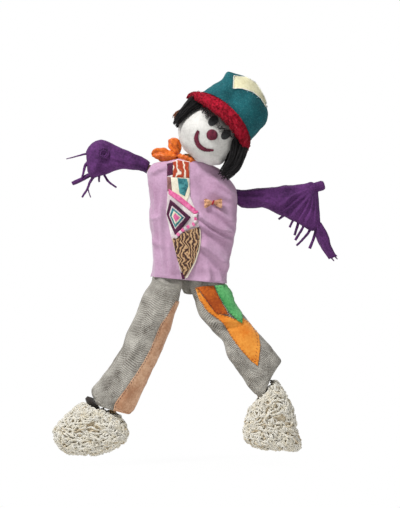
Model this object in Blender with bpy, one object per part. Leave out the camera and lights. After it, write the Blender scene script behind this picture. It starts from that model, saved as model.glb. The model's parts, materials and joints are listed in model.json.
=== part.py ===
"""Hanging scarecrow figure: a wooden frame with bolted limbs, stuffed and dressed in cloth.

Metres, +Z up, the figure faces -Y and hangs from the plate whose back face holds the origin.
"left" and "right" are as seen from the front.
"""
from math import atan2, cos, pi, radians, sin, sqrt

import bmesh
import bpy
from mathutils import Matrix, Vector
from mathutils.bvhtree import BVHTree

# ---- driving dimensions -------------------------------------------------------------------
GAP = 0.0003              # clearance between touching hard pieces
SOFT_GAP = 0.0009         # how far sewn-on cloth stands off what it lies on

PLATE = (0.030, 0.004, 0.060)
SPINE_WIDTH, SPINE_THICK = 0.040, 0.018
SPINE_TOP, SPINE_FOOT = 0.070, -0.345
BAR_THICK, BAR_HEIGHT = 0.012, 0.030
STICK_R = 0.010           # arm and leg sticks
NECK_R = 0.009
NECK_BLOCK = (0.028, 0.022, 0.046)
BOLT_R, BOLT_HEAD_R, BOLT_HEAD_T = 0.003, 0.0065, 0.004

SHOULDER_LEFT = (-0.118, 0.022)
SHOULDER_RIGHT = (0.112, -0.062)
HIP_LEFT = (-0.078, -0.315)
HIP_RIGHT = (0.040, -0.315)
BAR_END = 0.008           # how far a bar runs past its bolt
ARM_LEFT_TIP = (-0.272, 0.071)
ARM_RIGHT_TIP = (0.386, -0.028)
ANKLE_LEFT = (-0.258, -0.745)
ANKLE_RIGHT = (0.226, -0.705)

NECK = (-0.012, 0.053)
HEAD_LEAN = 44.0          # degrees that the head leans to the right at rest
HEAD_CENTRE = (0.042, -0.085, 0.122)
HEAD_HALF = (0.088, 0.074, 0.075)     # across, front to back, up
BRIM_LOW, BRIM_TOP = 0.050, 0.0765    # height of the brim above the head's middle
HAT_WALL = 0.004

TORSO_BACK, TORSO_FRONT = -0.0015, -0.1095
CLOTH = 0.0015            # thickness of the smock
FELT = 0.0015
ARMHOLE_R = 0.040

# depths, from the wall outwards
SPINE_BACK = -(PLATE[1] + GAP)
SPINE_FRONT = SPINE_BACK - SPINE_THICK
BAR_BACK = SPINE_FRONT - GAP
BAR_FRONT = BAR_BACK - BAR_THICK
STICK_Y = BAR_FRONT - GAP - STICK_R
BLOCK_FRONT = BAR_BACK - NECK_BLOCK[1]
NECK_Y = BLOCK_FRONT - GAP - NECK_R

LEAN = radians(HEAD_LEAN)
HEAD_UP = Vector((sin(LEAN), 0, cos(LEAN)))
HEAD_SIDE = Vector((cos(LEAN), 0, -sin(LEAN)))
FRONT = Vector((0, -1, 0))

for old in list(bpy.data.objects):
    bpy.data.objects.remove(old)


# ---- helpers ------------------------------------------------------------------------------
def material(name, color, roughness, metallic=0.0):
    mat = bpy.data.materials.new(name)
    mat.use_nodes = True
    shader = mat.node_tree.nodes["Principled BSDF"]
    shader.inputs["Base Color"].default_value = (*color, 1)
    shader.inputs["Roughness"].default_value = roughness
    shader.inputs["Metallic"].default_value = metallic
    return mat


def finish(name, bm, mat, smooth=True):
    """Turn a bmesh into a named object in the scene."""
    bmesh.ops.recalc_face_normals(bm, faces=bm.faces)
    mesh = bpy.data.meshes.new(name)
    bm.to_mesh(mesh)
    bm.free()
    if smooth:
        mesh.shade_smooth()
        mesh.set_sharp_from_angle(angle=radians(40))
    obj = bpy.data.objects.new(name, mesh)
    bpy.context.collection.objects.link(obj)
    if mat:
        mesh.materials.append(mat)
    return obj


def as_cutter(obj):
    obj.hide_render = True
    obj.display_type = "WIRE"
    return obj


def cut(target, *cutters):
    for cutter in cutters:
        mod = target.modifiers.new("cut", "BOOLEAN")
        mod.operation = "DIFFERENCE"
        mod.solver = "EXACT"
        mod.object = as_cutter(cutter)


def block(name, low, high, mat):
    """An upright box between two corners."""
    bm = bmesh.new()
    bmesh.ops.create_cube(bm, size=1)
    size = [h - l for l, h in zip(low, high)]
    mid = [(h + l) / 2 for l, h in zip(low, high)]
    bmesh.ops.scale(bm, vec=size, verts=bm.verts)
    bmesh.ops.translate(bm, vec=mid, verts=bm.verts)
    return finish(name, bm, mat, smooth=False)


def rod(name, start, end, radius, mat, sides=20):
    """A round bar from one point to another."""
    start, end = Vector(start), Vector(end)
    bm = bmesh.new()
    along = end - start
    turn = along.to_track_quat("Z", "Y").to_matrix().to_4x4()
    place = Matrix.Translation((start + end) / 2) @ turn
    bmesh.ops.create_cone(bm, cap_ends=True, segments=sides, radius1=radius, radius2=radius,
                          depth=along.length, matrix=place)
    return finish(name, bm, mat)


def bar(name, left, right, y_back, mat):
    """A flat batten across the figure that runs a little past both bolts."""
    a, b = Vector((left[0], 0, left[1])), Vector((right[0], 0, right[1]))
    along = (b - a).normalized()
    length = (b - a).length + 2 * BAR_END
    bm = bmesh.new()
    bmesh.ops.create_cube(bm, size=1)
    bmesh.ops.scale(bm, vec=(length, BAR_THICK, BAR_HEIGHT), verts=bm.verts)
    bmesh.ops.rotate(bm, cent=(0, 0, 0), verts=bm.verts,
                     matrix=Matrix.Rotation(atan2(-along.z, along.x), 3, "Y"))
    centre = (a + b) / 2
    bmesh.ops.translate(bm, vec=(centre.x, y_back - BAR_THICK / 2, centre.z), verts=bm.verts)
    return finish(name, bm, mat, smooth=False)


def ring(bm, left, right, depth, y, sides, boxy):
    """One closed loop whose widest points are left and right, given as (x, z)."""
    a, b = Vector((left[0], y, left[1])), Vector((right[0], y, right[1]))
    middle, across = (a + b) / 2, (b - a) / 2
    verts = []
    for i in range(sides):
        angle = 2 * pi * i / sides
        c, s = cos(angle), sin(angle)
        u = abs(c) ** (2 / boxy) * (1 if c >= 0 else -1)
        v = abs(s) ** (2 / boxy) * (1 if s >= 0 else -1)
        verts.append(bm.verts.new(middle + across * u + Vector((0, depth * v, 0))))
    edges = [bm.edges.new((verts[i], verts[(i + 1) % sides])) for i in range(sides)]
    return verts, edges


def soft_form(name, stations, mat, sides=24, boxy=2.0, closed=True):
    """A lofted body; a station is (left, right, half depth, y of its middle)."""
    bm = bmesh.new()
    rings = [ring(bm, *station, sides, boxy) for station in stations]
    for (_, low), (_, high) in zip(rings, rings[1:]):
        bmesh.ops.bridge_loops(bm, edges=low + high)
    if closed:
        bm.faces.new(rings[0][0])
        bm.faces.new(rings[-1][0])
    return finish(name, bm, mat)


def ellipsoid_stations(centre, half, side, up, start, stop, count):
    """Stations of an egg shape between two shares of its height, both from -1 to 1."""
    out = []
    for i in range(count):
        angle = start + (stop - start) * i / (count - 1)
        level, width = sin(angle), cos(angle)
        middle = Vector(centre) + up * (half[2] * level)
        left, right = middle - side * half[0] * width, middle + side * half[0] * width
        out.append(((left.x, left.z), (right.x, right.z), half[1] * width, centre[1]))
    return out


def strip(name, path, width, y, thick, mat):
    """A flat ribbon in the XZ plane along a few (x, z) points, tapering a little to its tip."""
    bm = bmesh.new()
    loops = []
    for i, point in enumerate(path):
        before, after = path[max(i - 1, 0)], path[min(i + 1, len(path) - 1)]
        run = Vector((after[0] - before[0], after[1] - before[1])).normalized()
        half = width / 2 * (1 - 0.35 * i / (len(path) - 1))
        left = (point[0] - run.y * half, point[1] + run.x * half)
        right = (point[0] + run.y * half, point[1] - run.x * half)
        loops.append(ring(bm, left, right, thick / 2, y, 8, 2.5))
    for (_, low), (_, high) in zip(loops, loops[1:]):
        bmesh.ops.bridge_loops(bm, edges=low + high)
    bm.faces.new(loops[0][0])
    bm.faces.new(loops[-1][0])
    return finish(name, bm, mat)


def surface_of(obj):
    bpy.context.view_layer.update()
    return BVHTree.FromObject(obj, bpy.context.evaluated_depsgraph_get())


def lay_on(name, outline, target, thick, mat, cell=0.009, gap=SOFT_GAP):
    """Cloth cut to an (x, z) outline and laid on the front of another piece."""
    tree = surface_of(target)
    bm = bmesh.new()
    bm.faces.new([bm.verts.new((x, 0, z)) for x, z in outline])
    for axis in (0, 2):
        low = min(v.co[axis] for v in bm.verts)
        high = max(v.co[axis] for v in bm.verts)
        count = max(1, round((high - low) / cell))
        normal = Vector((0, 0, 0))
        normal[axis] = 1
        for i in range(1, count):
            point = normal * (low + (high - low) * i / count)
            bmesh.ops.bisect_plane(bm, geom=bm.verts[:] + bm.edges[:] + bm.faces[:],
                                   plane_co=point, plane_no=normal, dist=1e-6)
    bmesh.ops.triangulate(bm, faces=bm.faces)
    for vert in bm.verts:
        hit, normal = tree.ray_cast(Vector((vert.co.x, -1, vert.co.z)), Vector((0, 1, 0)))[:2]
        if hit is None:
            hit, normal = tree.find_nearest(Vector((vert.co.x, TORSO_FRONT, vert.co.z)))[:2]
        vert.co = hit + (normal + FRONT).normalized() * gap
    back = list(bm.faces)
    front = bmesh.ops.extrude_face_region(bm, geom=back, use_keep_orig=True)["geom"]
    bmesh.ops.translate(bm, vec=FRONT * thick,
                        verts=[v for v in front if isinstance(v, bmesh.types.BMVert)])
    return finish(name, bm, mat)


def on_head(r, u):
    """World (x, z) of a place on the face, given across and up from the head's middle."""
    place = Vector(HEAD_CENTRE) + HEAD_SIDE * r + HEAD_UP * u
    return place.x, place.z


def oval(centre, across, up, sides=16):
    """An ellipse outline on the face, its axes along the head's own."""
    return [on_head(centre[0] + across * cos(2 * pi * i / sides),
                    centre[1] + up * sin(2 * pi * i / sides)) for i in range(sides)]


# ---- wooden frame -------------------------------------------------------------------------
def hanger():
    steel = material("hanger_steel", (0.55, 0.56, 0.58), 0.35, 1.0)
    w, t, h = PLATE
    plate = block("hanger_plate", (-w / 2, -t, -h / 2), (w / 2, 0, h / 2), steel)
    nail_hole = rod("cut_nail_hole", (0, 0.01, 0.019), (0, -0.01, 0.019), 0.004, None)
    screw_holes = [rod("cut_screw", (x, 0.01, z), (x, -0.01, z), BOLT_R + GAP, None)
                   for x, z in SCREW_PLACES]
    cut(plate, nail_hole, *screw_holes)
    for i, (x, z) in enumerate(SCREW_PLACES, start=1):
        rod(f"hanger_screw_{i}", (x, -0.0004, z), (x, -PLATE[1] - 0.014, z), BOLT_R, steel, 16)


SCREW_PLACES = ((-0.009, 0.004), (0.009, 0.004))


def spine():
    wood = material("batten_pine", (0.62, 0.44, 0.26), 0.7)
    half = SPINE_WIDTH / 2
    batten = block("spine_batten", (-half, SPINE_FRONT, SPINE_FOOT), (half, SPINE_BACK, SPINE_TOP), wood)
    holes = [rod("cut_screw", (x, 0.01, z), (x, SPINE_BACK - 0.0145, z), BOLT_R + GAP, None)
             for x, z in SCREW_PLACES]
    cut(batten, *holes, *[bolt_hole(place) for place in SPINE_BOLTS])
    return batten


def bolt_hole(place):
    x, z = place
    return rod("cut_bolt", (x, 0.02, z), (x, -0.12, z), BOLT_R + GAP, None)


SHOULDER_MID = ((SHOULDER_LEFT[0] + SHOULDER_RIGHT[0]) / 2, (SHOULDER_LEFT[1] + SHOULDER_RIGHT[1]) / 2)
HIP_MID = (0.0, HIP_LEFT[1])
SPINE_BOLTS = (SHOULDER_MID, HIP_MID, NECK)


def bars():
    wood = material("bar_pine", (0.58, 0.40, 0.24), 0.7)
    shoulder = bar("shoulder_bar", SHOULDER_LEFT, SHOULDER_RIGHT, BAR_BACK, wood)
    cut(shoulder, *[bolt_hole(p) for p in (SHOULDER_LEFT, SHOULDER_RIGHT, SHOULDER_MID)])
    hip = bar("hip_bar", HIP_LEFT, HIP_RIGHT, BAR_BACK, wood)
    cut(hip, *[bolt_hole(p) for p in (HIP_LEFT, HIP_RIGHT, HIP_MID)])


def bolt(name, place, y_head, y_end):
    """A round-headed bolt along Y, its head under the rear face of what it holds."""
    steel = material("bolt_zinc", (0.6, 0.6, 0.62), 0.3, 1.0)
    x, z = place
    bm = bmesh.new()
    profile = [(0, 0), (BOLT_HEAD_R, 0), (BOLT_HEAD_R, BOLT_HEAD_T), (BOLT_R, BOLT_HEAD_T),
               (BOLT_R, BOLT_HEAD_T + y_head - y_end), (0, BOLT_HEAD_T + y_head - y_end)]
    verts = [bm.verts.new((r, -t, 0)) for r, t in profile]
    edges = [bm.edges.new(pair) for pair in zip(verts, verts[1:])]
    bmesh.ops.spin(bm, geom=verts + edges, cent=(0, 0, 0), axis=(0, 1, 0), angle=2 * pi,
                   steps=16, use_merge=True)
    bmesh.ops.remove_doubles(bm, verts=bm.verts, dist=1e-6)
    bmesh.ops.translate(bm, vec=(x, y_head + BOLT_HEAD_T, z), verts=bm.verts)
    return finish(name, bm, steel)


def nut(name, place, y_back):
    """A six-sided nut whose rear face is at y_back."""
    steel = material("nut_zinc", (0.6, 0.6, 0.62), 0.35, 1.0)
    x, z = place
    piece = rod(name, (x, y_back, z), (x, y_back - 0.004, z), 0.0062, steel, 6)
    cut(piece, rod("cut_nut", (x, y_back + 0.01, z), (x, y_back - 0.02, z), BOLT_R + GAP, None, 16))


# ---- head and hat -------------------------------------------------------------------------
def neck():
    wood = material("dowel_beech", (0.66, 0.50, 0.32), 0.6)
    x, z = NECK
    w, t, h = NECK_BLOCK
    piece = block("neck_block", (x - w / 2, BLOCK_FRONT, SPINE_TOP - h), (x + w / 2, BAR_BACK, SPINE_TOP), wood)
    cut(piece, bolt_hole(NECK))
    foot = Vector((x, NECK_Y, z))
    dowel = rod("neck_dowel", foot - HEAD_UP * 0.012, foot + HEAD_UP * DOWEL_REACH, NECK_R, wood, 24)
    cut(dowel, bolt_hole(NECK))


DOWEL_REACH = 0.080


def head():
    cotton = material("head_cotton", (0.80, 0.79, 0.76), 0.9)
    ball = soft_form("head", ellipsoid_stations(HEAD_CENTRE, HEAD_HALF, HEAD_SIDE, HEAD_UP,
                                                -1.45, 1.45, 14), cotton, sides=28)
    foot = Vector((NECK[0], NECK_Y, NECK[1]))
    socket = rod("cut_socket", foot - HEAD_UP * 0.02, foot + HEAD_UP * (DOWEL_REACH + GAP),
                 NECK_R + GAP, None, 24)
    cut(ball, socket)
    return ball


def face(ball):
    felt = material("eye_felt", (0.025, 0.027, 0.03), 0.95)
    maroon = material("nose_felt", (0.115, 0.009, 0.027), 0.95)
    lay_on("eye_left", oval((-0.014, 0.033), 0.0125, 0.0145), ball, FELT, felt, cell=0.006)
    lay_on("eye_right", oval((0.040, 0.033), 0.0125, 0.0145), ball, FELT, felt, cell=0.006)
    lay_on("nose", oval((0.012, 0.008), 0.0165, 0.0165), ball, FELT * 2, maroon, cell=0.006)
    upper, lower = [], []
    for i in range(9):
        angle = radians(200 + 140 * i / 8)
        fat = 0.0065 * sin(pi * (i + 0.6) / 9.2) + 0.001
        for line, reach in ((upper, -fat), (lower, fat)):
            line.append(on_head(0.013 + (0.037 + reach) * cos(angle), 0.000 + (0.036 + reach) * sin(angle)))
    lay_on("mouth", upper + lower[::-1], ball, FELT, maroon, cell=0.006)


def hair():
    wool = material("hair_wool", (0.004, 0.003, 0.003), 0.8)
    tuft = ((-0.1005, 0.040, 0.012, 0.030), (-0.1065, 0.015, 0.018, 0.034),
            (-0.1045, -0.018, 0.017, 0.030), (-0.0985, -0.045, 0.008, 0.014))
    bunch = ((0.1057, 0.045, 0.016, 0.034), (0.1103, 0.015, 0.022, 0.040),
             (0.1108, -0.020, 0.0225, 0.036), (0.116, -0.045, 0.010, 0.018))
    for name, spots in (("hair_left", tuft), ("hair_right", bunch)):
        stations = []
        for r, u, half, depth in spots:
            stations.append((on_head(r - half, u), on_head(r + half, u), depth, HEAD_CENTRE[1]))
        soft_form(name, stations, wool, sides=14)


def hat():
    teal = material("crown_wool", (0.007, 0.102, 0.127), 0.95)
    crimson = material("brim_wool", (0.40, 0.012, 0.035), 0.95)
    spots = ((0.000, BRIM_TOP + GAP, 0.099, 0.082), (-0.004, 0.100, 0.102, 0.083), (0.002, 0.150, 0.094, 0.078),
             (0.004, 0.185, 0.078, 0.068), (0.004, 0.205, 0.055, 0.050), (0.004, 0.212, 0.025, 0.022))
    outside = [(on_head(r - half, u), on_head(r + half, u), depth, HEAD_CENTRE[1])
               for r, u, half, depth in spots]
    inside = [(on_head(r - half + HAT_WALL, u - HAT_WALL), on_head(r + half - HAT_WALL, u - HAT_WALL),
               depth - HAT_WALL, HEAD_CENTRE[1]) for r, u, half, depth in spots]
    crown = soft_form("hat_crown", outside, teal, sides=28)
    cut(crown, soft_form("cut_crown", inside, None, sides=28))
    brim_spots = ((0.000, BRIM_LOW, 0.122, 0.082), (0.000, BRIM_LOW + 0.008, 0.122, 0.0825),
                  (-0.002, BRIM_TOP, 0.106, 0.082))
    share = sqrt(1 - (BRIM_LOW / HEAD_HALF[2]) ** 2)
    hole = (HEAD_HALF[0] * share + 2 * GAP, HEAD_HALF[1] * share + 2 * GAP)
    bm = bmesh.new()
    outer, inner = [], []
    for r, u, half, depth in brim_spots:
        outer.append(ring(bm, on_head(r - half, u), on_head(r + half, u), depth, HEAD_CENTRE[1], 28, 2.0))
        inner.append(ring(bm, on_head(-hole[0], u), on_head(hole[0], u), hole[1], HEAD_CENTRE[1], 28, 2.0))
    for rings in (outer, inner):
        for (_, low), (_, high) in zip(rings, rings[1:]):
            bmesh.ops.bridge_loops(bm, edges=low + high)
    for end in (0, -1):
        around, hole_edge = outer[end][0], inner[end][0]
        for i in range(len(around)):
            bm.faces.new((around[i - 1], around[i], hole_edge[i], hole_edge[i - 1]))
    finish("hat_brim", bm, crimson)
    cream = material("patch_cream", (0.93, 0.91, 0.68), 0.9)
    crown_patch = [on_head(r, u) for r, u in ((-0.052, 0.166), (-0.022, 0.200), (0.012, 0.203),
                                              (0.060, 0.181), (0.051, 0.170), (0.010, 0.168), (-0.030, 0.142))]
    lay_on("hat_patch", crown_patch, crown, FELT, cream, cell=0.008, gap=0.0019)


# ---- scarf --------------------------------------------------------------------------------
def scarf():
    satin = material("scarf_satin", (0.75, 0.19, 0.014), 0.45)
    bm = bmesh.new()
    bmesh.ops.create_circle(bm, cap_ends=False, segments=10, radius=SCARF_TUBE,
                            matrix=Matrix.Translation((0, -SCARF_R, 0)) @ Matrix.Rotation(pi / 2, 4, "Y"))
    bmesh.ops.rotate(bm, cent=(0, 0, 0), matrix=Matrix.Rotation(-SCARF_ARC / 2, 3, "Z"), verts=bm.verts)
    geom = bm.verts[:] + bm.edges[:]
    first = list(bm.edges)
    end = bmesh.ops.spin(bm, geom=geom, cent=(0, 0, 0), axis=(0, 0, 1), angle=SCARF_ARC, steps=20)["geom_last"]
    bmesh.ops.contextual_create(bm, geom=first)
    bmesh.ops.contextual_create(bm, geom=[e for e in end if isinstance(e, bmesh.types.BMEdge)])
    bmesh.ops.rotate(bm, cent=(0, 0, 0), matrix=Matrix.Rotation(radians(SCARF_LEAN), 3, "Y"), verts=bm.verts)
    bmesh.ops.translate(bm, vec=(NECK[0], NECK_Y, NECK[1] - 0.002), verts=bm.verts)
    finish("scarf_wrap", bm, satin)
    high = (((-0.050, 0.0688), (-0.038, 0.0676), 0.008), ((-0.058, 0.082), (-0.030, 0.080), 0.018),
            ((-0.071, 0.100), (-0.042, 0.104), 0.017), ((-0.064, 0.113), (-0.050, 0.115), 0.008))
    soft_form("scarf_lobe_high", [(a, b, d, -0.066) for a, b, d in high], satin, sides=14)
    low = (((-0.0488, 0.054), (-0.0486, 0.064), 0.010), ((-0.078, 0.048), (-0.076, 0.076), 0.016),
           ((-0.104, 0.052), (-0.100, 0.082), 0.015), ((-0.122, 0.062), (-0.120, 0.072), 0.006))
    soft_form("scarf_lobe_low", [(a, b, d, -0.064) for a, b, d in low], satin, sides=14)


SCARF_R, SCARF_TUBE, SCARF_LEAN, SCARF_ARC = 0.0325, 0.0055, 20, radians(286)


# ---- torso --------------------------------------------------------------------------------
def torso():
    bag = material("bag_calico", (0.62, 0.56, 0.45), 0.9)
    back, front = BAR_FRONT - SOFT_GAP, TORSO_FRONT + CLOTH + SOFT_GAP
    y, deep = (back + front) / 2, (back - front) / 2
    shapes = (((-0.060, -0.252), (0.045, -0.254), 0.5), ((-0.104, -0.235), (0.086, -0.245), 0.9),
              ((-0.108, -0.120), (0.104, -0.140), 1.0), ((-0.100, -0.045), (0.085, -0.105), 1.0),
              ((-0.072, -0.005), (0.055, -0.035), 0.9), ((-0.042, 0.012), (0.012, 0.000), 0.55))
    stuffing = soft_form("torso_stuffing", [(a, b, deep * d, y) for a, b, d in shapes], bag,
                         sides=24, boxy=2.6)
    cut(stuffing, bolt_clearance(SHOULDER_MID))


def bolt_clearance(place):
    x, z = place
    return rod("cut_nut_room", (x, 0.02, z), (x, BAR_FRONT - 0.012, z), 0.010, None, 16)


SMOCK = (((-0.1224, -0.300), (0.0972, -0.319)), ((-0.1206, -0.240), (0.106, -0.262)),
         ((-0.124, -0.180), (0.123, -0.196)), ((-0.132, -0.120), (0.130, -0.140)),
         ((-0.131, -0.040), (0.134, -0.098)), ((-0.134, 0.006), (0.128, -0.050)),
         ((-0.127, 0.026), (0.112, -0.019)), ((-0.088, 0.040), (0.064, 0.012)),
         ((-0.049, 0.050), (0.026, 0.032)))
SMOCK_DEPTH = (1.0, 1.0, 1.0, 1.0, 1.0, 0.98, 0.90, 0.80, 0.70)


def smock():
    cotton = material("smock_cotton", (0.60, 0.38, 0.55), 0.85)
    y = (TORSO_BACK + TORSO_FRONT) / 2
    half = (TORSO_BACK - TORSO_FRONT) / 2
    stations = []
    for (left, right), deep in zip(SMOCK, SMOCK_DEPTH):
        stations.append((left, right, half * deep, y))
    shirt = soft_form("shirt", stations, cotton, sides=36, boxy=3.0, closed=False)
    wall = shirt.modifiers.new("wall", "SOLIDIFY")
    wall.thickness = CLOTH
    wall.offset = -1
    for place, tip in ((SHOULDER_LEFT, ARM_LEFT_TIP), (SHOULDER_RIGHT, ARM_RIGHT_TIP)):
        a = Vector((place[0], STICK_Y, place[1]))
        b = Vector((tip[0], STICK_Y, tip[1]))
        out = (b - a).normalized()
        cut(shirt, rod("cut_armhole", a - out * 0.022, a + out * 0.12, ARMHOLE_R, None, 24))
    half_slit = SPINE_WIDTH / 2 + 0.005
    cut(shirt, as_cutter(block("cut_back_slit", (-half_slit, SPINE_FRONT - 0.004, -0.045),
                               (half_slit, 0.01, 0.10), None)))
    return shirt


def trims(shirt):
    print_cotton = material("strip_print", (0.30, 0.10, 0.14), 0.8)
    outline = ((-0.030, -0.306), (-0.022, -0.306), (0.004, -0.250), (0.020, -0.190), (0.004, -0.130),
               (-0.010, -0.060), (-0.012, 0.020), (-0.040, 0.028), (-0.072, 0.018), (-0.070, -0.060),
               (-0.078, -0.115), (-0.062, -0.185), (-0.040, -0.250))
    strip_piece = lay_on("print_strip", outline, shirt, CLOTH, print_cotton, cell=0.014)
    tan = material("bow_tan", (0.52, 0.24, 0.11), 0.7)
    spots = (((0.038, -0.080), (0.042, -0.066), 0.003), ((0.046, -0.090), (0.052, -0.064), 0.007),
             ((0.056, -0.086), (0.060, -0.074), 0.005), ((0.064, -0.094), (0.070, -0.070), 0.007),
             ((0.076, -0.090), (0.080, -0.078), 0.003))
    soft_form("bow", [(a, b, d, TORSO_FRONT - 0.0064) for a, b, d in spots], tan, sides=12)
    return strip_piece


# ---- arms ---------------------------------------------------------------------------------
PURPLE = (0.061, 0.013, 0.09)


def arm_axis(place, tip):
    a, b = Vector((place[0], STICK_Y, place[1])), Vector((tip[0], STICK_Y, tip[1]))
    return a, b, (b - a).normalized()


def arm_left():
    wood = material("arm_pine", (0.62, 0.46, 0.28), 0.7)
    jersey = material("sleeve_jersey", PURPLE, 0.75)
    a, b, out = arm_axis(SHOULDER_LEFT, ARM_LEFT_TIP)
    stick = rod("arm_stick_left", a - out * 0.012, b, STICK_R, wood)
    cut(stick, bolt_hole(SHOULDER_LEFT))
    shapes = (((-0.1406, 0.0135), (-0.1316, 0.0421), 0.020), ((-0.160, 0.019), (-0.157, 0.057), 0.024),
              ((-0.203, 0.025), (-0.214, 0.084), 0.029), ((-0.240, 0.017), (-0.243, 0.098), 0.030),
              ((-0.275, 0.004), (-0.278, 0.110), 0.028), ((-0.305, -0.002), (-0.300, 0.105), 0.022),
              ((-0.319, 0.020), (-0.320, 0.075), 0.008))
    sleeve = soft_form("sleeve_left", [(l, r, d, STICK_Y) for l, r, d in shapes], jersey, sides=22)
    cut(sleeve, rod("cut_bore", a, b + out * GAP, STICK_R + GAP, None))
    fringes = (((-0.3240, 0.036), (-0.334, 0.020), (-0.341, 0.008), 0.009),
               ((-0.3085, 0.0005), (-0.335, -0.010), (-0.364, -0.023), 0.015),
               ((-0.299, -0.0042), (-0.314, -0.034), (-0.328, -0.060), 0.010))
    for i, (*path, width) in enumerate(fringes, start=1):
        strip(f"fringe_left_{i}", path, width, STICK_Y, 0.003, jersey)


def arm_right():
    wood = material("arm_pine_right", (0.62, 0.46, 0.28), 0.7)
    jersey = material("sleeve_jersey_right", PURPLE, 0.75)
    a, b, out = arm_axis(SHOULDER_RIGHT, ARM_RIGHT_TIP)
    stick = rod("arm_stick_right", a - out * 0.012, b, STICK_R, wood)
    cut(stick, bolt_hole(SHOULDER_RIGHT))
    shapes = (((0.1336, -0.0815), (0.1287, -0.0418), 0.022), ((0.177, -0.094), (0.174, -0.038), 0.026),
              ((0.232, -0.100), (0.228, -0.031), 0.026), ((0.262, -0.118), (0.272, -0.027), 0.025),
              ((0.310, -0.138), (0.320, -0.022), 0.023), ((0.352, -0.158), (0.350, -0.020), 0.019),
              ((0.376, -0.142), (0.366, -0.0215), 0.015))
    sleeve = soft_form("sleeve_right", [(l, r, d, STICK_Y) for l, r, d in shapes], jersey, sides=22)
    cut(sleeve, rod("cut_bore", a, b + out * 0.02, STICK_R + GAP, None))
    cap_start = a + out * ((b - a).length - 0.0125)
    cap = rod("pole_cap", cap_start, b + out * 0.0045, 0.014, jersey, 24)
    cut(cap, rod("cut_cap", cap_start - out * 0.01, b + out * GAP, STICK_R + GAP, None))
    finger = (((0.366, -0.1515), (0.380, -0.1432), 0.007), ((0.370, -0.178), (0.406, -0.176), 0.012),
              ((0.388, -0.216), (0.4146, -0.209), 0.011), ((0.408, -0.248), (0.432, -0.240), 0.007))
    soft_form("sleeve_finger", [(l, r, d, STICK_Y) for l, r, d in finger], jersey, sides=14)
    fringes = (((0.320, -0.1445), (0.316, -0.172), (0.307, -0.196), 0.009),
               ((0.338, -0.1522), (0.326, -0.186), (0.308, -0.211), 0.010),
               ((0.361, -0.1552), (0.363, -0.202), (0.351, -0.235), 0.010))
    for i, (*path, width) in enumerate(fringes, start=1):
        strip(f"fringe_right_{i}", path, width, STICK_Y, 0.003, jersey)


# ---- legs ---------------------------------------------------------------------------------
TROUSER_LEFT = (((-0.096, -0.270), (-0.060, -0.270), 0.012, 0), ((-0.116, -0.288), (-0.040, -0.290), 0.024, 0),
                ((-0.122, -0.318), (-0.033, -0.318), 0.028, 0), ((-0.146, -0.352), (-0.045, -0.372), 0.031, 0.1),
                ((-0.1725, -0.414), (-0.066, -0.440), 0.040, 0.8), ((-0.214, -0.511), (-0.098, -0.530), 0.043, 1),
                ((-0.2475, -0.566), (-0.135, -0.610), 0.044, 1), ((-0.303, -0.640), (-0.181, -0.700), 0.045, 1),
                ((-0.282, -0.700), (-0.200, -0.711), 0.036, 1))
TROUSER_RIGHT = (((0.024, -0.270), (0.056, -0.270), 0.012, 0), ((0.004, -0.290), (0.077, -0.288), 0.024, 0),
                 ((-0.006, -0.318), (0.086, -0.318), 0.028, 0), ((0.004, -0.372), (0.110, -0.352), 0.031, 0.1),
                 ((0.019, -0.414), (0.126, -0.392), 0.040, 0.8), ((0.066, -0.456), (0.164, -0.434), 0.043, 1),
                 ((0.092, -0.510), (0.198, -0.474), 0.044, 1), ((0.110, -0.552), (0.240, -0.512), 0.045, 1),
                 ((0.143, -0.592), (0.2637, -0.5485), 0.045, 1), ((0.196, -0.664), (0.240, -0.590), 0.040, 1),
                 ((0.211, -0.656), (0.228, -0.606), 0.030, 1))
LEG_Y_TOP = BAR_FRONT - 0.031
LEG_Y = -0.056
HEM = 0.020


def leg(side, hip, ankle, stations):
    """Stick, trouser leg and mop binding of one leg."""
    wood = material(f"leg_pine_{side}", (0.60, 0.44, 0.27), 0.7)
    tweed = material(f"tweed_{side}", (0.30, 0.26, 0.22), 0.95)
    a, b = Vector((hip[0], STICK_Y, hip[1])), Vector((ankle[0], STICK_Y, ankle[1]))
    along = (b - a).normalized()
    stick = rod(f"leg_stick_{side}", a - along * 0.012, b, STICK_R, wood)
    cut(stick, bolt_hole(hip))
    forms = [(l, r, d, LEG_Y_TOP + (LEG_Y - LEG_Y_TOP) * t) for l, r, d, t in stations]
    trouser = soft_form(f"trouser_{side}", forms, tweed, sides=26, boxy=2.3)
    bore = rod("cut_bore", a - along * 0.02, b + along * 0.05, STICK_R + GAP, None)
    nut_room = rod("cut_nut_room", (hip[0], 0.02, hip[1]),
                   (hip[0], STICK_Y - STICK_R - 0.008, hip[1]), 0.009, None, 16)
    cut(trouser, bore, nut_room)
    return trouser


def mop(side, stations, ankle, hip):
    yarn = material(f"mop_cotton_{side}", (0.93, 0.88, 0.74), 0.95)
    head_piece = soft_form(f"mop_{side}", [(l, r, d, LEG_Y) for l, r, d in stations], yarn, sides=22)
    a, b = Vector((ankle[0], STICK_Y, ankle[1])), Vector((hip[0], STICK_Y, hip[1]))
    up = (b - a).normalized()
    cut(head_piece, rod("cut_bore", a - up * GAP, a + up * 0.15, STICK_R + GAP, None))


MOP_LEFT = (((-0.319, -0.6855), (-0.233, -0.7235), 0.030), ((-0.360, -0.708), (-0.200, -0.758), 0.048),
            ((-0.425, -0.768), (-0.204, -0.788), 0.0545), ((-0.400, -0.806), (-0.226, -0.808), 0.054),
            ((-0.382, -0.831), (-0.290, -0.831), 0.040))
MOP_RIGHT = (((0.217, -0.668), (0.246, -0.604), 0.028), ((0.170, -0.700), (0.276, -0.638), 0.044),
             ((0.154, -0.752), (0.306, -0.712), 0.055), ((0.152, -0.788), (0.316, -0.790), 0.056),
             ((0.190, -0.806), (0.330, -0.816), 0.040))


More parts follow.
